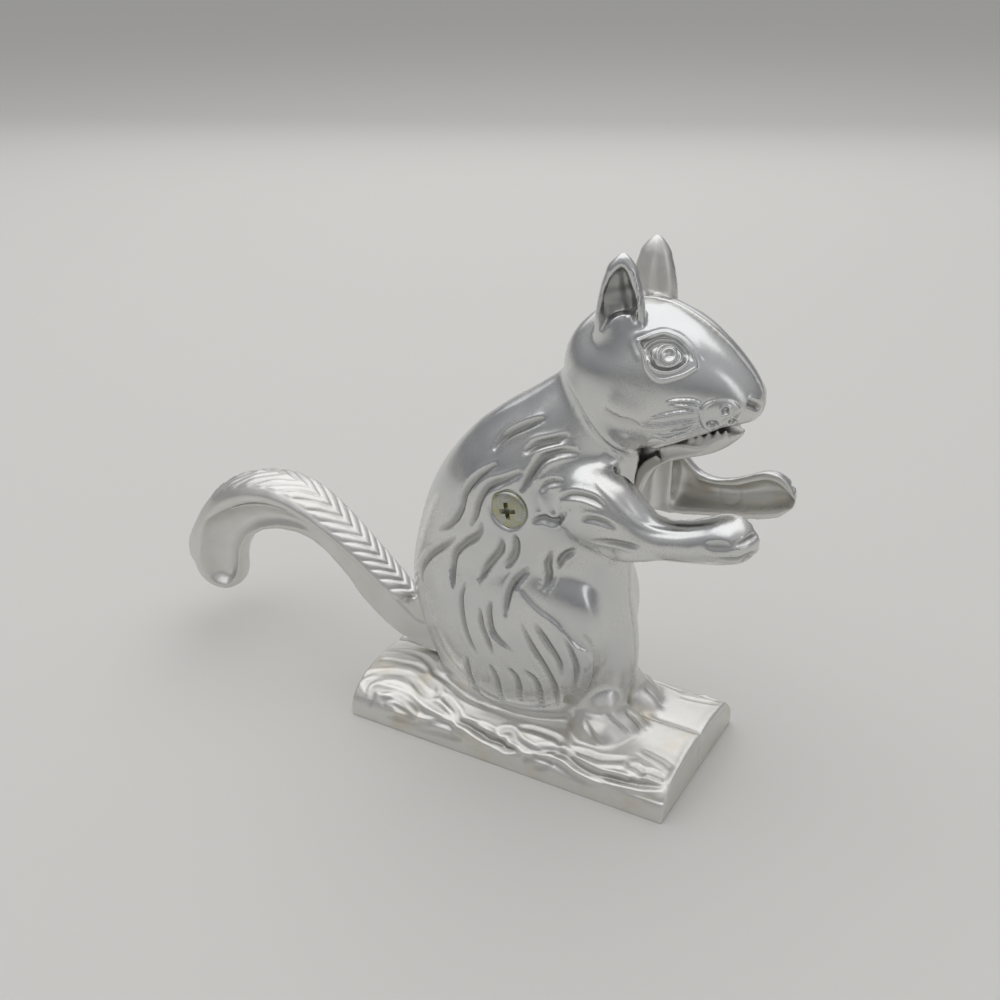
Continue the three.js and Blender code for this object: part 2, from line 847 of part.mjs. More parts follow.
const plain = plainHalf();
addPiece('right_body_half', rightBodyHalf(plain), bodyColour, polished);
addPiece('left_body_half', leftBodyHalf(plain), bodyColour, polished);
addPiece('tail_lever', tailLever(), leverColour, tumbled);

// Pivot: the sleeve takes the screw's clamp so that the lever stays free
const washerFromY = nutPocketFloorY + seatGap;
const nutFromY = washerFromY + washerThickness + seatGap;
const nutToY = nutFromY + nutThickness;
addPiece('pivot_sleeve', collar(
  sleeveRadius, pivotHoleRadius, seatGap - bossFaceY, bossFaceY - seatGap,
), sleeveColour, tumbled);
for (const [name, side] of [['lever_washer_right', -1], ['lever_washer_left', 1]]) {
  const from = side * (hubHalfWidth + seatGap);
  const to = from + side * leverWasherThickness;
  addPiece(name, collar(leverWasherRadius, hubBoreRadius, from, to), sleeveColour, tumbled);
}
addPiece('pivot_screw', crossScrew({
  x: 0,
  z: pivotZ,
  seatY: pivotHeadSeatY + seatGap,
  side: -1,
  radius: pivotScrewRadius,
  length: pivotHeadSeatY + nutToY,
  headRadius: pivotHeadRadius,
  headHeight: pivotHeadHeight,
  cross: { width: pivotCrossWidth, reach: pivotCrossLength, depth: pivotCrossDepth },
}), steelColour, polished);
addPiece('pivot_washer', collar(
  washerRadius, pivotHoleRadius, washerFromY, washerFromY + washerThickness,
), steelColour, polished);
addPiece('pivot_nut', hexNut(nutFromY), steelColour, polished);
for (const { name, x, z, seatY, length } of assemblyScrews) {
  addPiece(name, crossScrew({
    x,
    z,
    seatY: seatY + seatGap,
    side: 1,
    radius: screwRadius,
    length,
    headRadius: screwHeadRadius,
    headHeight: screwHeadHeight,
    cross: { width: screwCrossWidth, reach: screwCrossLength, depth: screwCrossDepth },
  }), steelColour, polished);
}

export default assembly;
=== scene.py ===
"""Looks of the lever nutcracker: two cast body halves, the cast tail lever, and their screws."""

import math

import bmesh
import bpy
import numpy as np
from mathutils import Euler, Matrix, Vector
from mathutils.bvhtree import BVHTree
from mathutils.kdtree import KDTree


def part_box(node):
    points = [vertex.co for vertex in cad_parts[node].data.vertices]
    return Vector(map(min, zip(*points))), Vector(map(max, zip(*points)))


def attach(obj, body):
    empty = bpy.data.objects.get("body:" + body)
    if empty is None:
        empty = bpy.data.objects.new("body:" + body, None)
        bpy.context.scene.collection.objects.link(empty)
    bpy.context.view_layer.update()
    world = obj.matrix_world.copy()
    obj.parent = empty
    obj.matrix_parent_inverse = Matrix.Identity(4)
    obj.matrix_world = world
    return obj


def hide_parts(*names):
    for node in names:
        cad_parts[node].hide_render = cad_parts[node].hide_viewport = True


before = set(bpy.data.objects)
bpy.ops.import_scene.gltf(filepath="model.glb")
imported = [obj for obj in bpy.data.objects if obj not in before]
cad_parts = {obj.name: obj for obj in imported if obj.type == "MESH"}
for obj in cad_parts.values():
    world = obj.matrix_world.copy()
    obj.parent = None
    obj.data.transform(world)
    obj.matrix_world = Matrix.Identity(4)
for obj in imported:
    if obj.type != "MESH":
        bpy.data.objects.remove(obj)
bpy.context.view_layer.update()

MM = 0.001
TINY = 1e-6
LEAST_LENGTH = 1e-9

# Camera of the photograph, fitted to the log's corners and to points that match left and right
PHOTO_WIDTH = 1000
FOCAL_PX = 1235.2
SENSOR_MM = 36
CAMERA_PLACE_MM = (197.9, -309.3, 251.4)
CAMERA_DOWN_DEG = 25.85
CAMERA_YAW_DEG = 29.63

# Castings: skin size, rounds of softening, what stays crisp, and what counts as the parting face
BODY_VOXEL_MM = 0.6
LEVER_VOXEL_MM = 0.46
BODY_ROUNDS = 106
LEVER_ROUNDS = 120
CRISP_ANGLE_DEG = 38
CRISP_REACH_MM = 3.0
CRISP_WEIGHT = 0.3
CRISP_STEP_MM = 1.0
CORNER_ANGLE_DEG = 50
LINE_LEAST_PLACES = 8
LINE_ROUNDS = 30
LINE_PULL_MM = 6.0
PARTING_BAND_MM = 0.9
PARTING_FACING = 0.75
WELD_MM = 0.001

# Inner faces that no view shows are kept coarser, and so is the plain skin of a casting that is too heavy
HIDDEN_KEPT_SHARE = 0.15
HIDDEN_ROUNDS = 8
HIDDEN_LEAST = 0.97
SAMPLE_SHARE = 0.7
SKY_RAYS = 90
FLOOR_SLOPE = -0.3
FACING_LEAST = 0.1
OFF_SKIN_MM = 0.05
PLAIN_BELOW_MM = 0.02
MOST_TRIANGLES = 194000
CHOSEN_WEIGHT = 1000

# Strokes: how far they reach and fall off in widths, their width at the ends, and where their lips lie
STROKE_REACH = 2.6
STROKE_FALL = 2.2
STROKE_END_WIDTH = 0.45
STROKE_LIP = (1.3, 0.4)

# Ledges: how far they reach, the share that tapers, the step across the line, and the skin below it
LEDGE_REACH = 2.2
LEDGE_TAPER = 0.25
LEDGE_STEP_MM = 0.5
LEDGE_LOWER = 0.45

# Patches: how squarely their middle and their edge face the way that the patch does
PATCH_FACING = 0.3
PATCH_EDGE_FACING = 0.2

# Cut skin: how much settles, and the depth that counts as deep
SETTLE_ROUNDS = 2
SETTLE_FROM_MM = 0.1
DEEP_CUT_MM = 0.8

# Where the casting gives way less: share held back, and where that starts and is full, in mm
EAR_HOLD = 0.86
EAR_HOLD_Z_MM = (144, 150)
PAW_HOLD = 0.7
PAW_HOLD_X_MM = (84, 92)
PAW_HOLD_Z_MM = (112, 106)
FOOT_HOLD = 0.85
FOOT_HOLD_X_MM = (60, 64)
FOOT_HOLD_Z_MM = (26, 22)
LOG_HOLD = 0.8
LOG_HOLD_OVER_MM = (2.5, 0.5)

# Log
LOG_WIDTH_MM = 60
LOG_RIDGE_MM = 14.4
LOG_SIDE_MM = 7.2
LOG_ROUNDNESS = 3.0
LOG_FADE_MM = 14

# Ear: how far its tip is drawn up and rounded, its foot, and how deep its opening is cut above and at the foot
MM_PER_PIXEL = 0.33
EAR_FROM_Z_MM = 143
EAR_FROM_SIDE_MM = (3.5, 6.5)
EAR_FACING = 0.05
EAR_RIM_MM = 0.4
EAR_STRETCH_MM = 2.3
EAR_STRETCH_FROM_MM = (156, 166)
EAR_CAP_MM = 6.0
EAR_CAP_STEPS = 11
EAR_CAP_FADE = (1.2, 0.6)
EAR_CAP_PERCENT = 90
EAR_CAP_WIDER = (0.65, 3.5)
EAR_CAP_POWER = 0.58
EAR_BLUNT_MM = 1.2
EAR_TIP_MM = (6.0, 3.0)
EAR_TIP_ROUNDS = 30
EAR_BASE_FROM_Z_MM = 133
EAR_BASE_FACING = -0.3
EAR_BASE_STEP_MM = 1.5
EAR_BASE_ROUNDS = 600
EAR_BOWL_DEPTH_MM = (0.9, 3.0)
EAR_BOWL_DEEPENS_PX = (284, 306)
EAR_BOWL_REACH_MM = 1.8

# Places that the softening left lumpy: where the arm leaves the neck, and the toes' ends
SHOULDER_LUMP_MM = (66.7, -13.3, 106.1)
SHOULDER_LUMP_REACH_MM = (5.0, 2.5)
SHOULDER_ROUNDS = 200
TOES_FROM_X_MM = (69, 73)
TOES_BELOW_Z_MM = (25, 21)
TOES_OVER_LOG_MM = (-0.5, 0.9)
TOE_ROUNDS = 90

# Back of the upper lip: where its edge starts in X and Z, its slope, and how far it drops
LIP_EDGE_MM = (80.5, 116.7)
LIP_SLOPE = 0.34
LIP_BACK_MM = (75, 79)
LIP_FRONT_MM = (97, 91)
LIP_SIDE_MM = (4, 7)
LIP_REACH_MM = 5
LIP_DROP_MM = 1.1

# Toes' gaps in X and Y, and the boxes of the face and the eye that get a finer skin
TOE_GAPS_MM = [[(67.5, -13.4), (70, -13.3), (73, -12.9), (77, -12.2)],
               [(72, -7.5), (74, -7.6), (76, -7.6), (80, -7.4)]]
TOE_GAP_WIDTH_MM = 0.9
TOE_GAP_RISE_MM = -0.8
TOE_GAP_LIP_MM = 0.1
TOE_GAP_TAPER = 0.3
TOE_GAP_FROM_Z_MM = 32
FACE_BOX_MM = ((71, 3, 114), (112, 25, 149))
EYE_BOX_MM = ((73, 6, 134), (91, 25, 148))

# Satin skin: how far up from the log it reaches, at the foot too, and on faces that look inwards
SATIN_OVER_LOG_MM = (4.5, 3.0)
SATIN_FOOT_X_MM = (57, 60)
SATIN_FOOT_OVER_MM = (13, 10)
SATIN_INWARDS = (0.15, 0.5)


# Photo and places

CAMERA_TURN = Euler((math.radians(90 - CAMERA_DOWN_DEG), 0, math.radians(CAMERA_YAW_DEG)))
TURN = CAMERA_TURN.to_matrix()
TO_CAMERA = np.array(TURN)[:, 2]


def make_camera():
    camera = bpy.data.objects.new("camera", bpy.data.cameras.new("camera"))
    bpy.context.scene.collection.objects.link(camera)
    camera.data.sensor_width = SENSOR_MM
    camera.data.lens = SENSOR_MM * FOCAL_PX / PHOTO_WIDTH
    camera.location = Vector(CAMERA_PLACE_MM) * MM
    camera.rotation_euler = CAMERA_TURN
    bpy.context.scene.camera = camera


def cast_pixel(surface, pixel):
    """Place on a surface, in mm, that one pixel of the photograph shows, and the way it faces."""
    half = PHOTO_WIDTH / 2
    ray = TURN @ Vector((pixel[0] - half, half - pixel[1], -FOCAL_PX))
    hit, facing = surface.ray_cast(Vector(CAMERA_PLACE_MM), ray.normalized())[:2]
    return None if hit is None else np.array([*hit, *facing])


def pixels_of(points):
    """Where the photograph shows each point."""
    seen = (points - CAMERA_PLACE_MM) @ np.array(TURN)
    return PHOTO_WIDTH / 2 + FOCAL_PX * seen[:, :2] * (1, -1) / -seen[:, 2:]


def smooth_line(points, steps=8):
    """A rounded line through the points of a polyline."""
    points = np.array(points, float)
    ends = np.vstack([2 * points[0] - points[1], points, 2 * points[-1] - points[-2]])
    share = np.linspace(0, 1, steps, endpoint=False)[:, None]
    parts = []
    for a, b, c, d in zip(ends[:-3], ends[1:-2], ends[2:-1], ends[3:]):
        parts.append(0.5 * (2 * b + (c - a) * share + (2 * a - 5 * b + 4 * c - d) * share ** 2
                            + (3 * b - a - 3 * c + d) * share ** 3))
    return np.vstack([*parts, points[-1:]])


def line_on(surface, pixels):
    """A line of photo pixels, rounded and cast on to a surface: places and facings."""
    hits = [cast_pixel(surface, pixel) for pixel in smooth_line(pixels)]
    return np.array([hit for hit in hits if hit is not None]).reshape(-1, 6)


def line_from_above(surface, places, start_z):
    """A line of places in X and Y, rounded and let down on to a surface."""
    down = Vector((0, 0, -1))
    hits = [surface.ray_cast(Vector((x, y, start_z)), down)[:2] for x, y in smooth_line(places)]
    return np.array([[*hit, *facing] for hit, facing in hits if hit is not None]).reshape(-1, 6)


# Meshes and points

def cad_mesh(node):
    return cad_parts[node].data


def points_of(mesh):
    flat = np.empty(len(mesh.vertices) * 3, np.float32)
    mesh.vertices.foreach_get("co", flat)
    return flat.reshape(-1, 3).astype(float) / MM


def set_points(mesh, points):
    mesh.vertices.foreach_set("co", (points * MM).astype(np.float32).ravel())
    mesh.update()


def normals_of(mesh):
    flat = np.empty(len(mesh.vertices) * 3, np.float32)
    mesh.vertices.foreach_get("normal", flat)
    return flat.reshape(-1, 3).astype(float)


def edges_of(mesh):
    flat = np.empty(len(mesh.edges) * 2, np.int32)
    mesh.edges.foreach_get("vertices", flat)
    return flat.reshape(-1, 2)


def set_attribute(mesh, name, values):
    layer = mesh.attributes.new(name, "FLOAT", "POINT")
    layer.data.foreach_set("value", values.astype(np.float32))


def neighbour_mean(values, edges, count):
    """Each value's mean over its neighbours, of which there are count."""
    total = np.empty_like(values)
    for axis in range(values.shape[1]):
        column = values[:, axis]
        total[:, axis] = (np.bincount(edges[:, 0], column[edges[:, 1]], len(values))
                          + np.bincount(edges[:, 1], column[edges[:, 0]], len(values)))
    return total / count[:, None]


def in_three(values):
    """The values as three equal columns, one for each axis."""
    return np.repeat(values[:, None], 3, axis=1)


def upright(flat):
    """Flat places in X and Z as places in the middle plane."""
    return np.insert(flat, 1, 0, axis=1)


def relax(values, edges, weight, rounds):
    """Draws each value towards its neighbours' mean."""
    count = np.bincount(edges.ravel(), minlength=len(values))
    step = 0.5 * weight * (count > 0)[:, None]
    for _ in range(rounds):
        values = values + step * (neighbour_mean(values, edges, np.maximum(count, 1)) - values)
    return values


def faired(points, edges, share, rounds):
    """The points with those whose share is above 0 drawn smooth between the others."""
    ring = share > 0
    ring[edges[ring[edges].any(axis=1)]] = True
    number = np.cumsum(ring) - 1
    found = points.copy()
    found[ring] = relax(points[ring], number[edges[ring[edges].all(axis=1)]], in_three(share[ring]), rounds)
    return found


def surface_of(*meshes):
    """The meshes together as one surface that takes rays, in mm."""
    bm = bmesh.new()
    for mesh in meshes:
        bm.from_mesh(mesh)
    bmesh.ops.scale(bm, vec=(1 / MM,) * 3, verts=bm.verts)
    surface = BVHTree.FromBMesh(bm)
    bm.free()
    return surface


def nearest_of(places, points):
    """For each point the number of the nearest place, and how far off it is."""
    tree = KDTree(len(places))
    for i, place in enumerate(places):
        tree.insert(place, i)
    tree.balance()
    found = [tree.find(point)[1:] for point in points]
    return np.array([number for number, _ in found]), np.array([away for _, away in found])


def step_share(low, high, value):
    """A smooth step from 0 at low to 1 at high. With low above high it falls."""
    share = np.clip((value - low) / (high - low), 0, 1)
    return share * share * (3 - 2 * share)


def bump_share(value, width):
    """A smooth bump of 1 at 0 that dies away over its width."""
    return np.exp(-(value / width) ** 2)


def applied(piece):
    """The piece with its modifiers made part of its mesh."""
    name = piece.name
    now = piece.evaluated_get(bpy.context.evaluated_depsgraph_get())
    piece.data = bpy.data.meshes.new_from_object(now)
    piece.data.name = name
    piece.modifiers.clear()
    return piece


def shade_smooth(piece):
    piece.data.polygons.foreach_set("use_smooth", [True] * len(piece.data.polygons))


def link(name, bm):
    mesh = bpy.data.meshes.new(name)
    bm.to_mesh(mesh)
    bm.free()
    piece = bpy.data.objects.new(name, mesh)
    bpy.context.scene.collection.objects.link(piece)
    return piece


# Castings from the CAD solids

def crisp_lines(bm):
    """Points along the CAD solid's outward edges, the parting edges left out, and which are linked."""
    places, links, number = [], [], {}
    for edge in bm.edges:
        a, b = (np.array(v.co) / MM for v in edge.verts)
        if max(abs(a[1]), abs(b[1])) < PARTING_BAND_MM or len(edge.link_faces) != 2:
            continue
        if edge.calc_face_angle_signed() < math.radians(CRISP_ANGLE_DEG):
            continue
        for v, place in zip(edge.verts, (a, b)):
            if v.index not in number:
                number[v.index] = len(places)
                places.append(place)
        count = max(1, round(np.linalg.norm(b - a) / CRISP_STEP_MM))
        first, last = (number[v.index] for v in edge.verts)
        chain = [first, *range(len(places), len(places) + count - 1), last]
        places += [a + (b - a) * i / count for i in range(1, count)]
        links += zip(chain[:-1], chain[1:])
    return np.array(places), np.array(links)


def rounded_lines(places, links):
    """The same points with each line's kinks rounded. Corners and ends stay."""
    degree = np.bincount(links.ravel(), minlength=len(places))
    mean = neighbour_mean(places, links, np.maximum(degree, 1))
    kink = CRISP_STEP_MM * math.sin(math.radians(CORNER_ANGLE_DEG / 2))
    corner = np.linalg.norm(mean - places, axis=1) > kink
    free = in_three(((degree == 2) & ~corner) * 1.0)
    once = relax(places, links, free, LINE_ROUNDS)
    return once + relax(places - once, links, free, LINE_ROUNDS)


def kept_lines(lines, keep):
    places, links = lines
    number = np.cumsum(keep) - 1
    return places[keep], number[links[keep[links].all(axis=1)]]


def without_crumbs(lines):
    """The lines without those that are only a few places long."""
    places, links = lines
    label, lower = None, np.arange(len(places))
    while label is None or (lower != label).any():
        label, lower = lower, lower.copy()
        np.minimum.at(lower, links.ravel(), np.repeat(label[links].min(axis=1), 2))
    return kept_lines(lines, np.bincount(label, minlength=len(label))[label] >= LINE_LEAST_PLACES)


def remeshed(node, name, voxel_mm):
    """A close, even skin over a CAD node, and its crisp lines."""
    bm = bmesh.new()
    bm.from_mesh(cad_mesh(node))
    bmesh.ops.remove_doubles(bm, verts=bm.verts, dist=WELD_MM * MM)
    bm.verts.index_update()
    lines = crisp_lines(bm)
    piece = link(name, bm)
    remesh = piece.modifiers.new("skin", "REMESH")
    remesh.mode = "VOXEL"
    remesh.voxel_size = voxel_mm * MM
    return applied(piece), lines


def soften(piece, lines, softness, rounds, parted, mirror=(1, 1, 1)):
    """Rounds the CAD's flats off, but keeps its crisp edges, its parting face and its size."""
    points = points_of(piece.data)
    edges = edges_of(piece.data)
    nearest, away = nearest_of(lines[0], points)
    shift = rounded_lines(*lines) - lines[0]
    points += shift[nearest] * step_share(LINE_PULL_MM, 0, away)[:, None]
    off_crisp = CRISP_WEIGHT + (1 - CRISP_WEIGHT) * step_share(0, CRISP_REACH_MM, away)
    weight = in_three(softness(points * mirror, normals_of(piece.data) * mirror) * off_crisp)
    if parted:
        face = (abs(points[:, 1]) < PARTING_BAND_MM) & (abs(normals_of(piece.data)[:, 1]) > PARTING_FACING)
        edges = edges[~face[edges].any(axis=1)]
        weight[face] = 0
        weight[abs(points[:, 1]) < PARTING_BAND_MM, 1] = 0
    once = relax(points, edges, weight, rounds)
    set_points(piece.data, once + relax(points - once, edges, weight, rounds))


def sky_directions():
    """Directions all round, even over the sphere, without those that the floor stops."""
    golden = math.pi * (3 - math.sqrt(5))
    found = []
    for i in range(SKY_RAYS):
        z = 1 - 2 * (i + 0.5) / SKY_RAYS
        if z > FLOOR_SLOPE:
            found.append(Vector((math.sqrt(1 - z * z) * math.cos(golden * i),
                                 math.sqrt(1 - z * z) * math.sin(golden * i), z)))
    return found


SKY = sky_directions()


def in_sight(surface, place, facing):
    start = place + facing * OFF_SKIN_MM
    return any(facing.dot(way) > FACING_LEAST and surface.ray_cast(start, way)[0] is None for way in SKY)


def thin_hidden(piece, node, castings):
    """Thins the piece where it and its surroundings lie on faces of the node that no outside view shows."""
    bm = bmesh.new()
    bm.from_mesh(cad_mesh(node))
    bmesh.ops.scale(bm, vec=(1 / MM,) * 3, verts=bm.verts)
    shown = []
    for face in bm.faces:
        middle = face.calc_center_median()
        samples = [middle, *(middle.lerp(v.co, SAMPLE_SHARE) for v in face.verts)]
        shown.append(any(in_sight(castings, sample, face.normal) for sample in samples))
    tree = BVHTree.FromBMesh(bm)
    bm.free()
    unseen = np.array([[not shown[tree.find_nearest(point)[2]]] for point in points_of(piece.data)], float)
    hidden = relax(unseen, edges_of(piece.data), 1, HIDDEN_ROUNDS)[:, 0] > HIDDEN_LEAST
    thinned(piece, hidden, 1 - hidden.mean() * (1 - HIDDEN_KEPT_SHARE))


def refined(piece, low, high):
    """Halves the edges inside a box, in mm, so that small forms come out clean."""
    bm = bmesh.new()
    bm.from_mesh(piece.data)
    inside = {v for v in bm.verts if all(a < abs(c) / MM < b for a, c, b in zip(low, v.co, high))}
    edges = [edge for edge in bm.edges if inside.issuperset(edge.verts)]
    bmesh.ops.subdivide_edges(bm, edges=edges, cuts=1, use_grid_fill=True)
    bm.to_mesh(piece.data)
    bm.free()


def thinned(piece, chosen, ratio):
    """Merges triangles among the chosen points, the flattest first, until that share of them all is left."""
    piece.vertex_groups.new(name="chosen").add(np.nonzero(chosen)[0].tolist(), 1, "REPLACE")
    thin = piece.modifiers.new("thin", "DECIMATE")
    thin.vertex_group = "chosen"
    thin.vertex_group_factor = CHOSEN_WEIGHT
    thin.ratio = ratio
    applied(piece)
    piece.vertex_groups.clear()


def thin_plain(piece, skin):
    """Thins the skin where no stroke lies until the piece is light enough, outside the face."""
    low, high = FACE_BOX_MM
    in_face = np.all((abs(skin.points) > low) & (abs(skin.points) < high), axis=1)
    piece.data.calc_loop_triangles()
    triangles = len(piece.data.loop_triangles)
    if triangles > MOST_TRIANGLES:
        thinned(piece, (abs(skin.height) < PLAIN_BELOW_MM) & ~in_face, MOST_TRIANGLES / triangles)


# Shapes that are raised or cut in a casting's skin

def fade_to_ends(nearest, count, taper):
    """Fades a line of that many places out over the tapering share at both ends."""
    along = nearest / (count - 1)
    return np.sqrt(np.clip(np.minimum(along, 1 - along) / taper, 0, 1))


class Skin:
    """A casting's points in the near half's frame, and the height that strokes give each of them."""

    def __init__(self, piece, mirror=1):
        self.flip = (1, mirror, 1)
        self.points = points_of(piece.data) * self.flip
        self.normals = normals_of(piece.data) * self.flip
        self.height = np.zeros(len(self.points))

    def near(self, line, reach):
        """Points near a line that face its way: which, how far off, and the number of the nearest place."""
        places, facings = line[:, :3], line[:, 3:]
        low, high = places.min(axis=0) - reach, places.max(axis=0) + reach
        which = np.nonzero(np.all((self.points > low) & (self.points < high), axis=1))[0]
        away = np.linalg.norm(self.points[which, None] - places[None], axis=2)
        nearest = away.argmin(axis=1)
        keep = (self.normals[which] * facings[nearest]).sum(axis=1) > FACING_LEAST
        keep &= away.min(axis=1) < reach
        return which[keep], away.min(axis=1)[keep], nearest[keep]

    def stroke(self, line, width, rise, lip, taper):
        """Adds a ridge, or with a negative rise a groove, along a line. It tapers to both ends."""
        if len(line) < 3:
            return
        which, away, nearest = self.near(line, STROKE_REACH * width)
        fade = fade_to_ends(nearest, len(line), taper)
        across = away / (width * (STROKE_END_WIDTH + (1 - STROKE_END_WIDTH) * fade))
        lip_at, lip_width = STROKE_LIP
        self.height[which] += fade * (rise * np.exp(-STROKE_FALL * across ** 2)
                                      + lip * bump_share(across - lip_at, lip_width))

    def ledge(self, line, towards, reach, rise):
        """Raises the skin on one side of a line, highest at the line, as where one form laps another."""
        if len(line) < 3:
            return
        which, away, nearest = self.near(line, LEDGE_REACH * reach)
        fade = fade_to_ends(nearest, len(line), LEDGE_TAPER)
        across = np.cross(np.gradient(line[:, :3], axis=0), line[:, 3:])
        across /= np.linalg.norm(across, axis=1)[:, None] + LEAST_LENGTH
        across *= np.sign(((towards[:3] - line[:, :3]) * across).sum(axis=1))[:, None]
        offset = ((self.points[which] - line[nearest, :3]) * across[nearest]).sum(axis=1)
        upper = step_share(-LEDGE_STEP_MM, LEDGE_STEP_MM, offset) * bump_share(away, reach)
        lower = step_share(LEDGE_STEP_MM, -LEDGE_STEP_MM, offset) * bump_share(away, reach / 2)
        self.height[which] += fade * rise * (upper - LEDGE_LOWER * lower)

    def ring(self, place, radius, width, rise):
        away = np.linalg.norm(self.points - place[:3], axis=1)
        facing = self.normals @ place[3:] > FACING_LEAST
        self.height += facing * rise * bump_share(away - radius, width)

    def patch(self, place, reach):
        """The skin round a place as seen square on: which points, and their flat places nose-ward and up."""
        away = np.linalg.norm(self.points - place[:3], axis=1)
        close = (away < reach / 2) & (self.normals @ place[3:] > PATCH_FACING)
        facing = self.normals[close].mean(axis=0)
        facing /= np.linalg.norm(facing)
        ahead = np.array([1.0, 0, 0]) - facing[0] * facing
        ahead /= np.linalg.norm(ahead)
        up = np.cross(facing, ahead)
        axes = np.stack([ahead, up * np.sign(up[2])], axis=1)
        which = np.nonzero((away < reach) & (self.normals @ facing > PATCH_EDGE_FACING))[0]
        return which, (self.points[which] - place[:3]) @ axes, axes

    def finish(self, piece):
        """Moves the skin, lets it settle where it was cut, and keeps how deep it was cut."""
        moved = self.points + self.normals * self.height[:, None]
        changed = np.clip(abs(self.height) / SETTLE_FROM_MM, 0, 1)
        moved = relax(moved, edges_of(piece.data), in_three(changed), SETTLE_ROUNDS)
        set_points(piece.data, moved * self.flip)
        set_attribute(piece.data, "cut", np.clip(-self.height / DEEP_CUT_MM, 0, 1))


# Strokes in the photograph's pixels
OUTLINE_STEPS = 5
SHOULDER_FUR_PX = [
    [(493, 451), (507, 435), (525, 426), (546, 418)],
    [(523, 454), (536, 445), (554, 441), (569, 435)],
    [(520, 493), (529, 476), (541, 460), (557, 453), (580, 452)],
    [(498, 463), (479, 476), (466, 491), (461, 509), (452, 523), (438, 530)],
    [(523, 471), (505, 480), (488, 487), (479, 501), (475, 516), (470, 526)],
    [(482, 521), (479, 534), (466, 543), (455, 555), (453, 575), (453, 589)],
    [(457, 537), (441, 548), (429, 557), (422, 569), (422, 582)],
    [(502, 537), (500, 551), (488, 566), (478, 582)],
    [(514, 534), (516, 544), (514, 557), (505, 568)],
    [(552, 551), (548, 566), (549, 576), (543, 593)],
    [(576, 549), (564, 557), (558, 568)],
    [(531, 523), (543, 519), (555, 522), (568, 512)],
    [(530, 567), (514, 582), (507, 598), (505, 619)],
]
HAUNCH_FUR_PX = [
    [(466, 580), (461, 597), (463, 620), (469, 640), (477, 655)],
    [(479, 607), (481, 622), (487, 640), (493, 656)],
    [(491, 600), (489, 614), (494, 634), (514, 654)],
    [(521, 623), (531, 645), (545, 668), (556, 690), (559, 707)],
    [(534, 622), (546, 641), (558, 661), (562, 677)],
    [(560, 633), (570, 650), (577, 672), (575, 693)],
    [(489, 664), (496, 678), (503, 702)],
    [(507, 667), (517, 680), (522, 703)],
    [(524, 670), (537, 684), (544, 710)],
    [(466, 655), (470, 674), (480, 694)],
]
ARM_FUR_PX = [
    [(541, 491), (545, 485), (553, 482), (565, 481)],
    [(558, 499), (570, 495), (583, 496), (596, 501), (606, 509)],
    [(580, 521), (590, 519), (603, 522), (618, 529)],
    [(591, 541), (610, 542), (626, 545), (641, 548)],
]
FINGER_GAPS_PX = [
    [(734, 545), (744, 542), (749, 539), (754, 536), (757, 535)],
    [(715, 559), (731, 560), (740, 559), (749, 555), (757, 552)],
    [(743, 562), (747, 559), (754, 556)],
]
PAW_RIDGE_PX = [(700, 552), (711, 555), (723, 556), (732, 551), (743, 549)]
PAW_HOLLOW_PX = [(704, 545), (714, 546), (723, 546), (731, 545)]
SHOULDER_EDGE_PX = [(542, 489), (539, 497), (541, 506), (547, 513), (552, 517), (557, 518), (564, 513),
                    (570, 508)]
ARM_LOWER_EDGE_PX = [(557, 523), (568, 530), (577, 540), (595, 551), (618, 557), (643, 561), (666, 563)]
FOREARM_CREST_PX = [(591, 472), (601, 488), (615, 502), (630, 518), (648, 528), (673, 532), (695, 532)]
NECK_CREASE_PX = [(567, 372), (569, 384), (577, 398), (590, 421), (604, 439), (620, 450), (641, 456),
                  (658, 459)]
COLLAR_PX = [(566, 384), (573, 397), (583, 417), (594, 434), (607, 447), (620, 456), (632, 461)]
CHEEK_EDGE_PX = [(604, 407), (611, 411), (621, 416), (631, 418), (636, 421), (641, 426)]
JAW_RIDGES_PX = [
    [(600, 430), (609, 440), (620, 447), (631, 450)],
    [(644, 447), (652, 442), (666, 440), (679, 438), (694, 434)],
]
WHISKERS_PX = [
    [(665, 403), (676, 401), (692, 401), (702, 404)],
    [(668, 406), (684, 406), (692, 408), (701, 410)],
    [(648, 418), (661, 416), (675, 413), (688, 412), (700, 412)],
    [(639, 423), (646, 426), (661, 426), (675, 424), (688, 422), (700, 420)],
    [(663, 434), (675, 431), (685, 429), (698, 424)],
    [(652, 436), (666, 438), (679, 435), (693, 431)],
]
EAR_OPENING_PX = [(617, 267), (621, 264), (625, 267), (631, 280), (636, 293), (638, 304), (639, 315),
                  (638, 324), (635, 324), (632, 322), (629, 316), (622, 315), (614, 319), (605, 328),
                  (600, 332), (598, 325), (597, 315), (598, 304), (601, 291), (607, 278)]
EAR_BASE_PX = [(602, 302), (618, 297), (634, 301), (640, 312), (645, 328), (641, 345), (627, 357),
               (611, 358), (598, 349), (594, 334), (597, 316)]
EAR_FOLD_PX = [(621, 268), (624, 280), (625, 292), (626, 302), (626, 313)]
EAR_ROLL_PX = [(627, 269), (632, 281), (635, 294), (637, 308), (638, 322)]
ARM_UNDERSIDE_PX = [(598, 549), (607, 552), (618, 555), (630, 556), (645, 557), (660, 559)]
PAD_PX = (720, 415)
PAD_RIM_PX = [(716, 400), (707, 404), (702, 409), (701, 415), (702, 422), (706, 428), (713, 432),
              (720, 432)]
PAD_WAVE_PX = [(719, 423), (726, 419), (733, 416), (741, 410)]
PAD_DIMPLES_PX = [((712, 423), 1.8), ((725, 410), 1.2), ((732, 421), 1.4)]
NOSTRIL_PX = [(747, 402), (754, 405), (760, 408)]
EYE_PX = (667, 357)
PUPIL_PX = (669, 356)
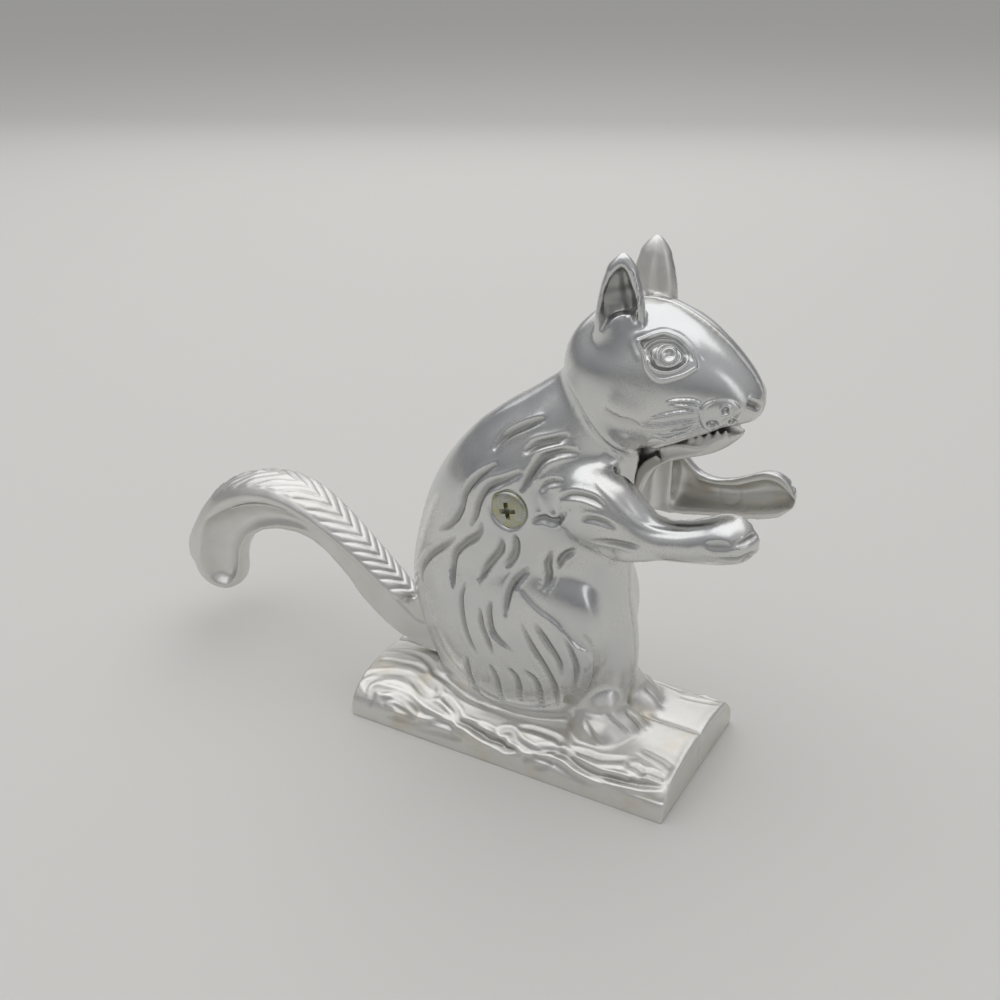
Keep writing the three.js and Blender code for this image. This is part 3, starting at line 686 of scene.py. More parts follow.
LIDS_PX = [(639, 341), (647, 338), (655, 335), (664, 333), (672, 335), (680, 339), (687, 346), (692, 355),
           (695, 366), (692, 369), (683, 374), (673, 377), (664, 379), (657, 378), (651, 373), (647, 366),
           (644, 354)]
BALL_PX = [(649, 350), (653, 346), (660, 343), (667, 343), (673, 344), (678, 348), (683, 354), (685, 361),
           (680, 366), (673, 369), (666, 370), (659, 369), (654, 366), (651, 359)]
THIGH_EDGE_PX = [(517, 586), (534, 606), (556, 623), (566, 636), (576, 645), (589, 653), (593, 664),
                 (591, 682), (582, 698)]
KNEE_PX = [(582, 633), (588, 640), (594, 648)]
RUMP_EDGE_PX = [(434, 640), (446, 658), (459, 672), (484, 696), (505, 708), (522, 714), (540, 717),
                (560, 717), (577, 713)]
FOOT_SIDE_PX = [(584, 718), (589, 729), (595, 738), (602, 746)]
EJECTOR_MARK_PX = (731, 494)
EJECTOR_MARK_MM = (3.4, 0.4, -0.2)

# The log's grain: shallow furrows, the deep ones apart
GRAIN_PX = [
    [(356, 690), (360, 679), (371, 674), (388, 672), (400, 673), (410, 676), (418, 685), (426, 693),
     (434, 696), (438, 693), (438, 685)],
    [(366, 693), (367, 685), (374, 679), (385, 676), (396, 676), (406, 679), (414, 685), (420, 693),
     (429, 701), (440, 709), (450, 716), (453, 722)],
    [(369, 709), (372, 699), (375, 689), (385, 690), (396, 693), (406, 698), (414, 706), (422, 713),
     (434, 718), (446, 722), (452, 725)],
    [(385, 709), (384, 703), (388, 699), (396, 699), (404, 704), (412, 711), (414, 715), (408, 714),
     (400, 709), (392, 704)],
    [(380, 652), (394, 651), (408, 652), (420, 656), (429, 663), (434, 672), (444, 679), (454, 686),
     (466, 697), (483, 705), (500, 712)],
    [(378, 661), (388, 660), (400, 662), (414, 665), (422, 669), (427, 673)],
    [(440, 693), (448, 701), (456, 712), (459, 719), (469, 724), (483, 730), (500, 735)],
    [(385, 717), (400, 719), (420, 723), (439, 725), (450, 728), (454, 735)],
    [(408, 725), (424, 730), (442, 734), (464, 741)],
    [(470, 721), (486, 727), (498, 738), (503, 742), (501, 733), (505, 731), (512, 732), (518, 741),
     (529, 749), (537, 755), (546, 759), (557, 766), (568, 773), (584, 781), (600, 786)],
    [(517, 727), (531, 729), (544, 733), (556, 738), (559, 742), (555, 747), (539, 749), (533, 749)],
    [(524, 764), (526, 759), (535, 760), (546, 763), (548, 766), (540, 768), (531, 766)],
    [(568, 746), (573, 751), (589, 755), (600, 759), (622, 760), (640, 759)],
    [(663, 711), (680, 717), (695, 723)],
    [(638, 751), (652, 758), (664, 765), (671, 772)],
    [(624, 767), (629, 765), (638, 769), (641, 774), (634, 777), (625, 773)],
    [(642, 771), (652, 774), (664, 779)],
    [(673, 691), (692, 699), (715, 707), (726, 710)],
]
DEEP_GRAIN_PX = [
    [(456, 722), (466, 725), (478, 732), (500, 743), (506, 748), (517, 750)],
    [(470, 728), (483, 736), (497, 744), (506, 749), (517, 750)],
    [(537, 751), (546, 752), (557, 752), (568, 756), (576, 764), (587, 771), (600, 776), (616, 779),
     (640, 785)],
    [(600, 774), (617, 780), (640, 784), (664, 787)],
]
END_BORDER_PX = [(701, 723), (698, 735), (687, 751), (679, 765), (671, 779), (669, 788)]

# Strokes on the body: lines, width and rise in mm, rise of the lips beside them, and share that tapers
BODY_STROKES = [
    (SHOULDER_FUR_PX, 1.6, -1.35, 0.5, 0.3),
    (HAUNCH_FUR_PX, 1.3, -1.25, 0.45, 0.3),
    (ARM_FUR_PX, 1.3, -1.0, 0.35, 0.3),
    ([ARM_UNDERSIDE_PX], 2.8, 2.0, 0, 0.4),
    (FINGER_GAPS_PX, 1.0, -1.2, 0.12, 0.2),
    ([PAW_RIDGE_PX], 0.9, 0.5, 0, 0.3),
    ([PAW_HOLLOW_PX], 1.6, -0.6, 0.1, 0.4),
    ([FOREARM_CREST_PX], 1.0, 0.3, -0.1, 0.3),
    ([COLLAR_PX], 0.9, 0.5, -0.15, 0.3),
    (JAW_RIDGES_PX, 0.9, 0.45, -0.1, 0.4),
    (WHISKERS_PX, 0.62, 0.7, -0.3, 0.3),
    ([EAR_FOLD_PX], 1.4, -1.5, 0.1, 0.2),
    ([EAR_ROLL_PX], 0.7, 0.5, -0.3, 0.2),
    ([PAD_RIM_PX], 0.6, 0.55, -0.3, 0.3),
    ([PAD_WAVE_PX], 0.8, -0.5, 0.25, 0.3),
    ([NOSTRIL_PX], 1.3, -1.2, 0.25, 0.1),
    ([KNEE_PX], 0.9, -0.4, 0.1, 0.3),
    ([FOOT_SIDE_PX], 1.0, -0.5, 0.25, 0.3),
    (GRAIN_PX, 1.5, -0.42, 0.24, 0.15),
    (DEEP_GRAIN_PX, 1.7, -0.8, 0.34, 0.3),
    ([END_BORDER_PX], 1.5, 0.55, -0.15, 0.1),
]

# Where one form laps another: the line, a pixel on the raised side, reach and rise in mm
BODY_LEDGES = [
    (CHEEK_EDGE_PX, (648, 388), 4.5, 0.9),
    (NECK_CREASE_PX, (640, 390), 3.0, 0.75),
    (SHOULDER_EDGE_PX, (590, 498), 3.0, 0.6),
    (ARM_LOWER_EDGE_PX, (620, 525), 3.0, 0.5),
    (THIGH_EDGE_PX, (520, 665), 4.0, 0.6),
    (RUMP_EDGE_PX, (505, 665), 2.4, 0.5),
]


def inside_of(outline, flat):
    """How far flat points lie inside a closed outline, negative outside it."""
    return -signed_distance(flat, smooth_line(np.vstack([outline, outline[:1]]), OUTLINE_STEPS)[:-1])


# Eye: the reach of its patch, the ball's radius, rise and seat, and the pupil's rings: radius, width and rise
EYE_REACH_MM = 13
BALL_RADIUS_MM = 6.2
BALL_RISE_MM = 1.5
BALL_SEAT_MM = 0.5
PUPIL_RINGS_MM = [(3.1, 0.5, 0.35), (2.5, 0.35, -0.45), (1.8, 0.5, 0.3), (0, 0.75, -0.75)]

# Lids: ridges along their outline and the ball's as place inwards, width and rise; the lower lid's own rise
LID_EDGE_MM = (-0.15, 0.5, 0.55)
LID_CREASE_MM = (-1.9, 0.8, 0.3)
BALL_RIM_MM = (-0.45, 0.4, 0.2)
BALL_GROOVE_MM = (0.15, 0.4, -0.75)
UPPER_LID_RIDGE_MM = (-1.0, 0.35, 0.55)
UPPER_LID_DROP_MM = 0.8
LOWER_LID_RISE_MM = 0.35
LOWER_RIM_RISE_MM = 0.45
LIDS_STEP_MM = (0, 0.7)
BALL_STEP_MM = (0.2, -0.5)
LOWER_STEP_MM = (1.0, -1.5)
LOWER_SLOPE = 0.25


def ridge(place, at, width, rise):
    """Height of a ridge that runs where place has the value at."""
    return rise * bump_share(place - at, width)


def carve_eye(skin, surface):
    """A ball with a ringed pupil between a broad lower lid and an upper lid with a crease."""
    centre = cast_pixel(surface, EYE_PX)
    near, flat, axes = skin.patch(centre, EYE_REACH_MM)
    lids, ball, pupil = (np.array([(cast_pixel(surface, pixel) - centre)[:3] @ axes for pixel in pixels])
                         for pixels in (LIDS_PX, BALL_PX, [PUPIL_PX]))
    in_lids, in_ball = inside_of(lids, flat), inside_of(ball, flat)
    from_pupil = np.linalg.norm(flat - pupil, axis=1)
    between = step_share(*LIDS_STEP_MM, in_lids) * step_share(*BALL_STEP_MM, in_ball)
    below = step_share(*LOWER_STEP_MM, flat[:, 1] - LOWER_SLOPE * flat[:, 0])
    upper_lid = ridge(in_ball, *UPPER_LID_RIDGE_MM) - UPPER_LID_DROP_MM
    height = ridge(in_lids, *LID_EDGE_MM) + ridge(in_lids, *LID_CREASE_MM) * (1 - below)
    height += between * (LOWER_LID_RISE_MM * below + (1 - below) * upper_lid)
    at, width, rise = BALL_RIM_MM
    height += ridge(in_ball, at, width, rise + LOWER_RIM_RISE_MM * below) + ridge(in_ball, *BALL_GROOVE_MM)
    from_middle = np.linalg.norm(flat, axis=1) / BALL_RADIUS_MM
    dome = BALL_RISE_MM * np.clip(1 - from_middle ** 2, 0, 1) - BALL_SEAT_MM
    dome += sum(ridge(from_pupil, *ring) for ring in PUPIL_RINGS_MM)
    skin.height[near] += height + dome * step_share(*LIDS_STEP_MM, in_ball)


def signed_distance(flat, outline):
    """Distance of flat points to a closed outline, negative inside it."""
    a, b = outline, np.roll(outline, -1, axis=0)
    side = b - a
    to_a = flat[:, None] - a[None]
    share = np.clip((to_a * side).sum(axis=2) / (side ** 2).sum(axis=1), 0, 1)
    distance = np.linalg.norm(to_a - share[..., None] * side, axis=2).min(axis=1)
    y = flat[:, 1, None]
    crosses = (a[:, 1] > y) != (b[:, 1] > y)
    with np.errstate(divide="ignore", invalid="ignore"):
        at_x = a[:, 0] + (y - a[:, 1]) * side[:, 0] / side[:, 1]
    inside = (crosses & (flat[:, 0, None] < at_x)).sum(axis=1) % 2 == 1
    return np.where(inside, -distance, distance)


# Whisker pad: its reach, half axes and rise, and its dimples' rims and hollows: radius and width in radii, rise
PAD_REACH_MM = 9
PAD_HALF_AXES_MM = (5.8, 4.6)
PAD_RISE_MM = 0.7
DIMPLE_RINGS = [(1, 0.3, 0.45), (0.5, 0.35, -1.3)]


def carve_pad(skin, surface):
    """The whisker pad beside the nose: a low dome with three ringed dimples."""
    near, flat, _ = skin.patch(cast_pixel(surface, PAD_PX), PAD_REACH_MM)
    from_middle = np.linalg.norm(flat / PAD_HALF_AXES_MM, axis=1)
    skin.height[near] += PAD_RISE_MM * np.sqrt(np.clip(1 - from_middle ** 2, 0, 1))
    for pixel, dimple_mm in PAD_DIMPLES_PX:
        place = cast_pixel(surface, pixel)
        for radius, width, rise in DIMPLE_RINGS:
            skin.ring(place, radius * dimple_mm, width * dimple_mm, rise)


def in_ear(points, normals):
    """How far points lie inside the ear's opening, in mm. Outside it, or elsewhere, negative."""
    found = np.full(len(points), -1.0)
    which = np.nonzero((points[:, 2] > EAR_FROM_Z_MM) & (normals @ TO_CAMERA > EAR_FACING))[0]
    found[which] = MM_PER_PIXEL * inside_of(EAR_OPENING_PX, pixels_of(points[which]))
    return found


def log_height(y):
    return LOG_SIDE_MM + (LOG_RIDGE_MM - LOG_SIDE_MM) * (1 - (2 * y / LOG_WIDTH_MM) ** 2)


def round_log(points):
    """Swells the log's section, flat-sided in the CAD, into the photograph's round one."""
    x, y, z = points.T
    angle = np.arctan2(z, abs(y))
    half = LOG_WIDTH_MM / 2
    flat_side = half / np.maximum(np.cos(angle), TINY)
    bend = (LOG_RIDGE_MM - LOG_SIDE_MM) / half ** 2 * np.cos(angle) ** 2
    arch = 2 * LOG_RIDGE_MM / (np.sin(angle) + np.sqrt(np.sin(angle) ** 2 + 4 * bend * LOG_RIDGE_MM))
    now = np.minimum(flat_side, arch)
    swollen = ((np.cos(angle) / half) ** LOG_ROUNDNESS + (np.sin(angle) / LOG_RIDGE_MM) ** LOG_ROUNDNESS
               ) ** (-1 / LOG_ROUNDNESS)
    share = step_share(LOG_FADE_MM, 0, np.hypot(y, z) - now)
    scale = 1 + share * (swollen / now - 1)
    return np.stack([x, y * scale, z * scale], axis=1)


def body_softness(points, normals):
    """How far each place gives way: little at the ears' edges, paws, toes and log."""
    x, y, z = points.T
    ear = step_share(*EAR_HOLD_Z_MM, z) * step_share(*EAR_FROM_SIDE_MM, -y)
    ear *= in_ear(points, normals) < EAR_RIM_MM
    paw = step_share(*PAW_HOLD_X_MM, x) * step_share(*PAW_HOLD_Z_MM, z)
    foot = step_share(*FOOT_HOLD_X_MM, x) * step_share(*FOOT_HOLD_Z_MM, z)
    log = step_share(*LOG_HOLD_OVER_MM, z - log_height(y))
    return 1 - np.maximum.reduce([EAR_HOLD * ear, PAW_HOLD * paw, FOOT_HOLD * foot, LOG_HOLD * log])


def round_ear_tip(points):
    """Gives the ear below its tip the flanks of a rounded cone, and blunts the tip."""
    tip = points[points[:, 2].argmax()].copy()
    down = (tip[2] - points[:, 2]) / EAR_CAP_MM
    near = (down < EAR_CAP_FADE[0]) & (np.linalg.norm(points - tip, axis=1) < 2 * EAR_CAP_MM)
    half_step = 0.5 / (EAR_CAP_STEPS - 1)
    foot = points[near & (abs(down - 1) < 2 * half_step)].mean(axis=0)
    offset = (points - tip - (foot - tip) * down[:, None])[:, :2]
    away = np.linalg.norm(offset, axis=1)
    steps = np.linspace(0, 1, EAR_CAP_STEPS)[1:]
    reach = np.array([np.percentile(away[near & (abs(down - step) <= half_step)], EAR_CAP_PERCENT)
                      for step in steps])
    wider = np.clip(reach[-1] * steps ** EAR_CAP_POWER / reach, *EAR_CAP_WIDER)
    points[near, :2] += (offset * (np.interp(down, steps, wider) - 1)[:, None])[near]
    drop = tip[2] - points[:, 2]
    points[:, 2] -= near * step_share(*EAR_CAP_FADE, down) * (np.hypot(drop, EAR_BLUNT_MM) - drop)
    return tip - (0, 0, EAR_BLUNT_MM)


def shape_ear(points, normals, edges):
    """Draws the ear's tip up and round, and fairs its foot, where the head's dome rises into the opening."""
    points[:, 2] += EAR_STRETCH_MM * step_share(*EAR_STRETCH_FROM_MM, points[:, 2])
    tip = round_ear_tip(points)
    from_tip = np.linalg.norm(points - tip, axis=1)
    points = faired(points, edges, step_share(*EAR_TIP_MM, from_tip), EAR_TIP_ROUNDS)
    foot = np.zeros(len(points))
    which = np.nonzero((points[:, 2] > EAR_BASE_FROM_Z_MM) & (points[:, 1] < 0)
                       & (normals @ TO_CAMERA > EAR_BASE_FACING))[0]
    inside = MM_PER_PIXEL * inside_of(EAR_BASE_PX, pixels_of(points[which]))
    foot[which] = step_share(0, EAR_BASE_STEP_MM, inside) * step_share(*EAR_FROM_SIDE_MM, -points[which, 1])
    return faired(points, edges, foot, EAR_BASE_ROUNDS)


def shape_lip(points):
    """Lowers the back of the upper lip's edge."""
    x, y, z = points.T
    share = step_share(*LIP_BACK_MM, x) * step_share(*LIP_FRONT_MM, x) * step_share(*LIP_SIDE_MM, abs(y))
    share *= step_share(LIP_REACH_MM, 0, abs(z - LIP_EDGE_MM[1] - LIP_SLOPE * (x - LIP_EDGE_MM[0])))
    return points - share[:, None] * (0, 0, LIP_DROP_MM)


def body_half(node, name, castings, mirror):
    """A half of the body, softened and with its larger forms corrected, ready for its strokes."""
    flip = (1, mirror, 1)
    piece, lines = remeshed(node, name, BODY_VOXEL_MM)
    soften(piece, without_crumbs(lines), body_softness, BODY_ROUNDS, True, flip)
    thin_hidden(piece, node, castings)
    points, edges = points_of(piece.data) * flip, edges_of(piece.data)
    points = shape_lip(shape_ear(points, normals_of(piece.data) * flip, edges))
    from_lump = np.linalg.norm(points - SHOULDER_LUMP_MM, axis=1)
    points = faired(points, edges, step_share(*SHOULDER_LUMP_REACH_MM, from_lump), SHOULDER_ROUNDS)
    x, y, z = points.T
    toes = step_share(*TOES_FROM_X_MM, x) * step_share(*TOES_BELOW_Z_MM, z)
    toes *= step_share(*TOES_OVER_LOG_MM, z - log_height(y))
    set_points(piece.data, round_log(faired(points, edges, toes, TOE_ROUNDS)) * flip)
    refined(piece, *FACE_BOX_MM)
    refined(piece, *EYE_BOX_MM)
    return piece


def sculpt_body(piece, surface, mark, mirror):
    """Gives a half its strokes, ledges, eye, pad and ear, the ejector's mark, and where its skin is satin."""
    skin = Skin(piece, mirror)
    for lines, width, rise, lip, taper in BODY_STROKES:
        for pixels in lines:
            skin.stroke(line_on(surface, pixels), width, rise, lip, taper)
    for pixels, towards, reach, rise in BODY_LEDGES:
        skin.ledge(line_on(surface, pixels), cast_pixel(surface, towards), reach, rise)
    for places in TOE_GAPS_MM:
        skin.stroke(line_from_above(surface, places, TOE_GAP_FROM_Z_MM), TOE_GAP_WIDTH_MM, TOE_GAP_RISE_MM,
                    TOE_GAP_LIP_MM, TOE_GAP_TAPER)
    carve_eye(skin, surface)
    carve_pad(skin, surface)
    low_down = step_share(*EAR_BOWL_DEEPENS_PX, pixels_of(skin.points)[:, 1])
    upper, lower = EAR_BOWL_DEPTH_MM
    bowl = step_share(0, EAR_BOWL_REACH_MM, in_ear(skin.points, skin.normals))
    skin.height -= (upper + (lower - upper) * low_down) * bowl
    skin.ring(mark, *EJECTOR_MARK_MM)
    skin.finish(piece)
    x, y, z = skin.points.T
    above = z - log_height(y)
    log = step_share(*SATIN_OVER_LOG_MM, above)
    foot = step_share(*SATIN_FOOT_X_MM, x) * step_share(*SATIN_FOOT_OVER_MM, above)
    inner = step_share(*SATIN_INWARDS, skin.normals[:, 1])
    set_attribute(piece.data, "satin", np.maximum.reduce([log, foot, inner]))
    thin_plain(piece, skin)


# Tail: its midrib in X and Z, and the ridges of the herringbone on both sides of it
TAIL_MIDRIB_MM = [(-8, 32), (-12, 35), (-24, 44.2), (-41.2, 57), (-57, 66.3), (-67.2, 68), (-77.3, 67),
                  (-87.3, 63.2), (-96.5, 57), (-104, 48.5), (-109.6, 39.5), (-112.6, 30.5), (-109.6, 19),
                  (-104, 16.3), (-98, 16.7)]
RIDGE_PITCH_MM = 3.3
PITCH_DOUBLES_MM = 74
RIDGE_RISE_MM = 0.7
RIDGE_FLOOR = 0.4
RIDGE_EDGE_MM = (8.2, 7.2)
RIDGE_FACING = (0.15, 0.4)
RIDGE_LEAN = ((0, 0.35), (12, 0.85), (30, 1.0), (43, 1.3), (52, 1.75), (70, 2.2))
RIDGES_START_MM = (1, 3)
RIDGES_END_MM = (118, 95)
RIDGES_LEAST_MM = -30
LEAN_ROUNDS = 8
MIDRIB_RISE_MM = 0.25
MIDRIB_WIDTH_MM = 0.9
MIDRIB_STEPS = 14
BAND_DEPTH_MM = 5.5
ROOT_NARROWING = 0.22
ROOT_MM = (60, 10)
NARROW_DEPTH_MM = (7.5, 5.5)

# Tail's end in X and Z: its outline, the hollow's outer edge, and the web's edge from the end up the curl
TIP_MIDDLE_MM = (-100.0, 29.0)
TIP_OUTLINE_MM = [(-112.2, 29.5), (-111.0, 22.0), (-106.9, 15.4), (-98.6, 13.4), (-92.6, 16.0),
                  (-89.4, 21.6), (-88.9, 28.5)]
TIP_ANGLES_DEG = (-178, -155, -25, 0)
TIP_STEPS = 60
HOLLOW_OUTER_MM = [(-95.4, 17.8), (-98.4, 17.4), (-101.4, 18.8), (-103.1, 22.4), (-103.3, 28.2),
                   (-101.9, 34.9), (-100.8, 38.8), (-97.2, 45.3), (-91.0, 50.3), (-82.3, 55.1),
                   (-75.0, 57.3), (-68.8, 58.0), (-60.3, 57.3), (-52.5, 55.2), (-46.0, 52.0)]
HOLLOW_INNER_MM = [(-95.4, 17.8), (-92.2, 20.4), (-90.0, 25.0), (-89.2, 28.5), (-88.0, 33.0), (-85.2, 38.5),
                   (-80.5, 43.0), (-75.0, 46.0), (-66.7, 48.4), (-57.0, 48.9), (-50.0, 48.6), (-46.0, 48.0)]
HOLLOW_UP_THE_CURL_MM = (-52, -62)
HOLLOW_STEP_MM = (-0.3, 0.3)
HOLLOW_BELOW_MM = 30

# Half widths in mm: of the wall in the hollow, across it; of the band, by how far it is from the midrib; and of
# the round rim, by the angle about the tip's middle
HOLLOW_WALL = ((0, 8.8), (0.1, 6.2), (0.25, 3.8), (0.45, 2.2), (0.62, 1.4), (0.82, 1.9), (1, 3.2))
BAND_SECTION = ((0, 2.5), (1, 5.0), (2, 6.6), (3, 7.6), (4, 8.3), (5, 8.8))
RIM_HALF_WIDTH = ((-180, 8.8), (-140, 8.2), (-110, 7.2), (-85, 6.0), (-60, 4.8), (-35, 3.9), (0, 3.2))

# Where the rim, the tip's end and the band's foot start and are full
RIM_REACH_MM = (3.0, 0)
RIM_Z_MM = (30, 22)
RIM_SOFT_MM = 0.2
END_FIRST_DEG = (-172, -150)
END_LAST_DEG = (15, -5)
BAND_FOOT_MM = (42, 36)
BAND_INSIDE_MM = (0.5, 1.2)

# How far from the middle plane each of them starts and is full, so that the web's own skin stays
FLOOR_SIDE_MM = (1.0, 2.2)
END_SIDE_MM = (0.4, 1.2)
TIP_FAIR_ROUNDS = 14
SCOOP_FROM_MM = (-30, -42)
SCOOP_DEPTH_MM = (6.2, 8.0)


def tail_places(points):
    """For each point: how far along the midrib, how far from it in the middle plane, and the way outwards."""
    line = smooth_line(TAIL_MIDRIB_MM, MIDRIB_STEPS)
    length = np.concatenate([[0], np.cumsum(np.linalg.norm(np.diff(line, axis=0), axis=1))])
    along = np.gradient(line, axis=0)
    along /= np.linalg.norm(along, axis=1)[:, None]
    nearest, away = nearest_of(upright(line), points * (1, 0, 1))
    offset = points[:, [0, 2]] - line[nearest]
    return length[nearest] + (offset * along[nearest]).sum(axis=1), away, along[nearest]


def sculpt_tail(piece):
    """Raises the herringbone and the midrib, and shapes the tail's root and end and the jaw."""
    skin = Skin(piece)
    s, away, along = tail_places(skin.points)
    side = abs(skin.points[:, 1])
    outward = skin.normals[:, 0] * along[:, 1] - skin.normals[:, 2] * along[:, 0]
    outward = abs(outward) * (away < BAND_DEPTH_MM)
    start = s
    for _ in range(LEAN_ROUNDS):
        start = s - side * np.interp(start, *zip(*RIDGE_LEAN))
    count = PITCH_DOUBLES_MM / RIDGE_PITCH_MM
    count *= np.log1p(np.maximum(start, RIDGES_LEAST_MM) / PITCH_DOUBLES_MM)
    within = abs(2 * (count % 1) - 1)
    on_band = step_share(*RIDGES_START_MM, start) * step_share(*RIDGES_END_MM, s)
    on_band *= step_share(*RIDGE_EDGE_MM, side) * step_share(*RIDGE_FACING, outward)
    skin.height += on_band * (RIDGE_RISE_MM * (RIDGE_FLOOR - within ** 3)
                              + MIDRIB_RISE_MM * bump_share(side, MIDRIB_WIDTH_MM))
    skin.finish(piece)
    points = points_of(piece.data)
    points[:, 1] *= 1 - ROOT_NARROWING * step_share(*ROOT_MM, s) * step_share(*NARROW_DEPTH_MM, away)
    set_points(piece.data, raise_jaw(spoon_tip(round_tip(points), edges_of(piece.data))))
    thin_plain(piece, skin)


def from_tip_middle(flat):
    """Places about the tip's middle: offset, distance and angle, which runs from -270 to 90 degrees."""
    offset = flat - TIP_MIDDLE_MM
    angle = np.degrees(np.arctan2(offset[:, 1], offset[:, 0]))
    return offset, np.linalg.norm(offset, axis=1), np.where(angle > 90, angle - 360, angle)


def round_tip(points):
    """Draws the tail's end to its round outline."""
    offset, radius, angle = from_tip_middle(points[:, [0, 2]])
    _, outline, outline_angle = from_tip_middle(smooth_line(TIP_OUTLINE_MM))
    first, full, fading, last = TIP_ANGLES_DEG
    end = (angle > first) & (angle < last) & (radius < 2 * outline.max())
    step = ((angle - first) / (last - first) * TIP_STEPS).astype(int)
    reach = np.array([radius[end & (step == i)].max() for i in range(TIP_STEPS)])
    now = np.interp(angle, first + (last - first) * (np.arange(TIP_STEPS) + 0.5) / TIP_STEPS, reach)
    share = end * step_share(first, full, angle) * step_share(last, fading, angle) * (radius / now) ** 2
    scale = 1 + share * (np.interp(angle, outline_angle, outline) / now - 1)
    found = points.copy()
    found[:, [0, 2]] = TIP_MIDDLE_MM + offset * scale[:, None]
    return found


def spoon_tip(points, edges):
    """Shapes both sides of the curl as a smooth hollow with a round rim about the tail's end."""
    below = tail_places(points)[1]
    close = np.nonzero((points[:, 0] < HOLLOW_UP_THE_CURL_MM[0]) & (below < HOLLOW_BELOW_MM))[0]
    flat, side, below = points[close][:, [0, 2]], points[close, 1], below[close]
    height = abs(side)
    outer, inner = smooth_line(HOLLOW_OUTER_MM), smooth_line(HOLLOW_INNER_MM)
    hollow = -signed_distance(flat, np.vstack([outer, inner[-1:0:-1]]))
    to_outer, to_inner = (nearest_of(upright(line), upright(flat))[1] for line in (outer, inner))
    _, radius, angle = from_tip_middle(flat)
    _, outline, outline_angle = from_tip_middle(smooth_line(TIP_OUTLINE_MM))
    rim = np.interp(angle, *zip(*RIM_HALF_WIDTH))
    inside = step_share(*HOLLOW_STEP_MM, hollow) * step_share(*HOLLOW_UP_THE_CURL_MM, flat[:, 0])
    at_end = step_share(*END_FIRST_DEG, angle) * step_share(*END_LAST_DEG, angle)

    wall = np.interp(to_outer / (to_outer + to_inner + TINY), *zip(*HOLLOW_WALL))
    at_rim = step_share(*RIM_REACH_MM, to_outer) * step_share(*RIM_Z_MM, flat[:, 1])
    wall += at_rim * np.minimum(rim - wall, 0)
    floor = np.minimum(height, wall)
    floor += (wall - floor) * step_share(*FLOOR_SIDE_MM, height)

    from_edge = np.maximum(np.interp(angle, outline_angle, outline) - radius, 0)
    out = np.clip(-hollow, 0, None)
    over = rim * np.sqrt(np.clip(1 - (out / (out + from_edge + RIM_SOFT_MM)) ** 2, 0, 1))

    foot = step_share(*BAND_FOOT_MM, flat[:, 1]) * (to_outer < to_inner) * step_share(*BAND_INSIDE_MM, below)
    foot *= (1 - inside) * (1 - at_end) * step_share(*FLOOR_SIDE_MM, height)
    new = height + inside * (floor - height)
    new += (1 - inside) * at_end * step_share(*END_SIDE_MM, height) * (over - height)
    new += foot * np.maximum(np.interp(below, *zip(*BAND_SECTION)) - height, 0)

    found = points.copy()
    found[close, 1] = np.sign(side) * new
    share = np.zeros(len(points))
    share[close] = np.maximum.reduce([inside, foot, at_end * (radius < 2 * outline.max())])
    share[close] *= step_share(*HOLLOW_UP_THE_CURL_MM, flat[:, 0])
    return faired(found, edges, share, TIP_FAIR_ROUNDS)


# Jaw: its top edge in X and Z, and how far its back and its teeth are lifted towards the upper lip
JAW_TOP_MM = (78.3, 112.3)
JAW_SLOPE = 0.307
JAW_UNDER_TOP_MM = (-4.2, -1.0)
JAW_FROM_X_MM = (74, 78)
JAW_BACK_X_MM = (91, 83)
JAW_BACK_LIFT_MM = 1.9
TEETH_SIDE_MM = (8.0, 6.6)
TEETH_TO_X_MM = (99, 95)
TEETH_LIFT_MM = 1.1

# The lever gives way by this share, most in the hollow and least in the jaw
LEVER_GIVE = 0.4
JAW_HOLD = 0.9
JAW_HOLD_X_MM = (60, 66)


def raise_jaw(points):
    """Lifts the jaw's back and its teeth."""
    x, y, z = points.T
    under_top = z - JAW_TOP_MM[1] - JAW_SLOPE * (x - JAW_TOP_MM[0])
    upper = step_share(*JAW_UNDER_TOP_MM, under_top) * step_share(*JAW_FROM_X_MM, x)
    back = step_share(*JAW_BACK_X_MM, x)
    teeth = step_share(*TEETH_SIDE_MM, abs(y)) * step_share(*TEETH_TO_X_MM, x)
    lift = upper * (JAW_BACK_LIFT_MM * back + TEETH_LIFT_MM * teeth * (1 - back))
    return points + lift[:, None] * (0, 0, 1)


def in_scoop(points):
    """Share by which points belong to the hollow inside the tail's curl."""
    _, away, _ = tail_places(points)
    return step_share(*SCOOP_DEPTH_MM, away) * step_share(*SCOOP_FROM_MM, points[:, 0])


def lever_softness(points, _):
    """The hollow gives way most, and the teeth of the jaw keep their points."""
    return np.minimum(LEVER_GIVE + (1 - LEVER_GIVE) * in_scoop(points),
                      1 - JAW_HOLD * step_share(*JAW_HOLD_X_MM, points[:, 0]))


# Putting the castings together

def fit(piece, node, body):
    """Says which body a piece rides on, and hides the CAD node that it stands for."""
    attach(piece, body)
    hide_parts(node)


make_camera()
cad_castings = surface_of(*(cad_mesh(node) for node in ("right_body_half", "left_body_half", "tail_lever")))
right_half = body_half("right_body_half", "right_half_casting", cad_castings, 1)
left_half = body_half("left_body_half", "left_half_casting", cad_castings, -1)
right_surface = surface_of(right_half.data)
ejector_mark = cast_pixel(surface_of(left_half.data), EJECTOR_MARK_PX) * (1, -1, 1, 1, -1, 1)
sculpt_body(right_half, right_surface, ejector_mark, 1)
sculpt_body(left_half, right_surface, ejector_mark, -1)

lever, lever_lines = remeshed("tail_lever", "tail_lever_casting", LEVER_VOXEL_MM)
lever_lines = kept_lines(lever_lines, in_scoop(lever_lines[0]) < 0.5)
soften(lever, lever_lines, lever_softness, LEVER_ROUNDS, False)
thin_hidden(lever, "tail_lever", cad_castings)
sculpt_tail(lever)

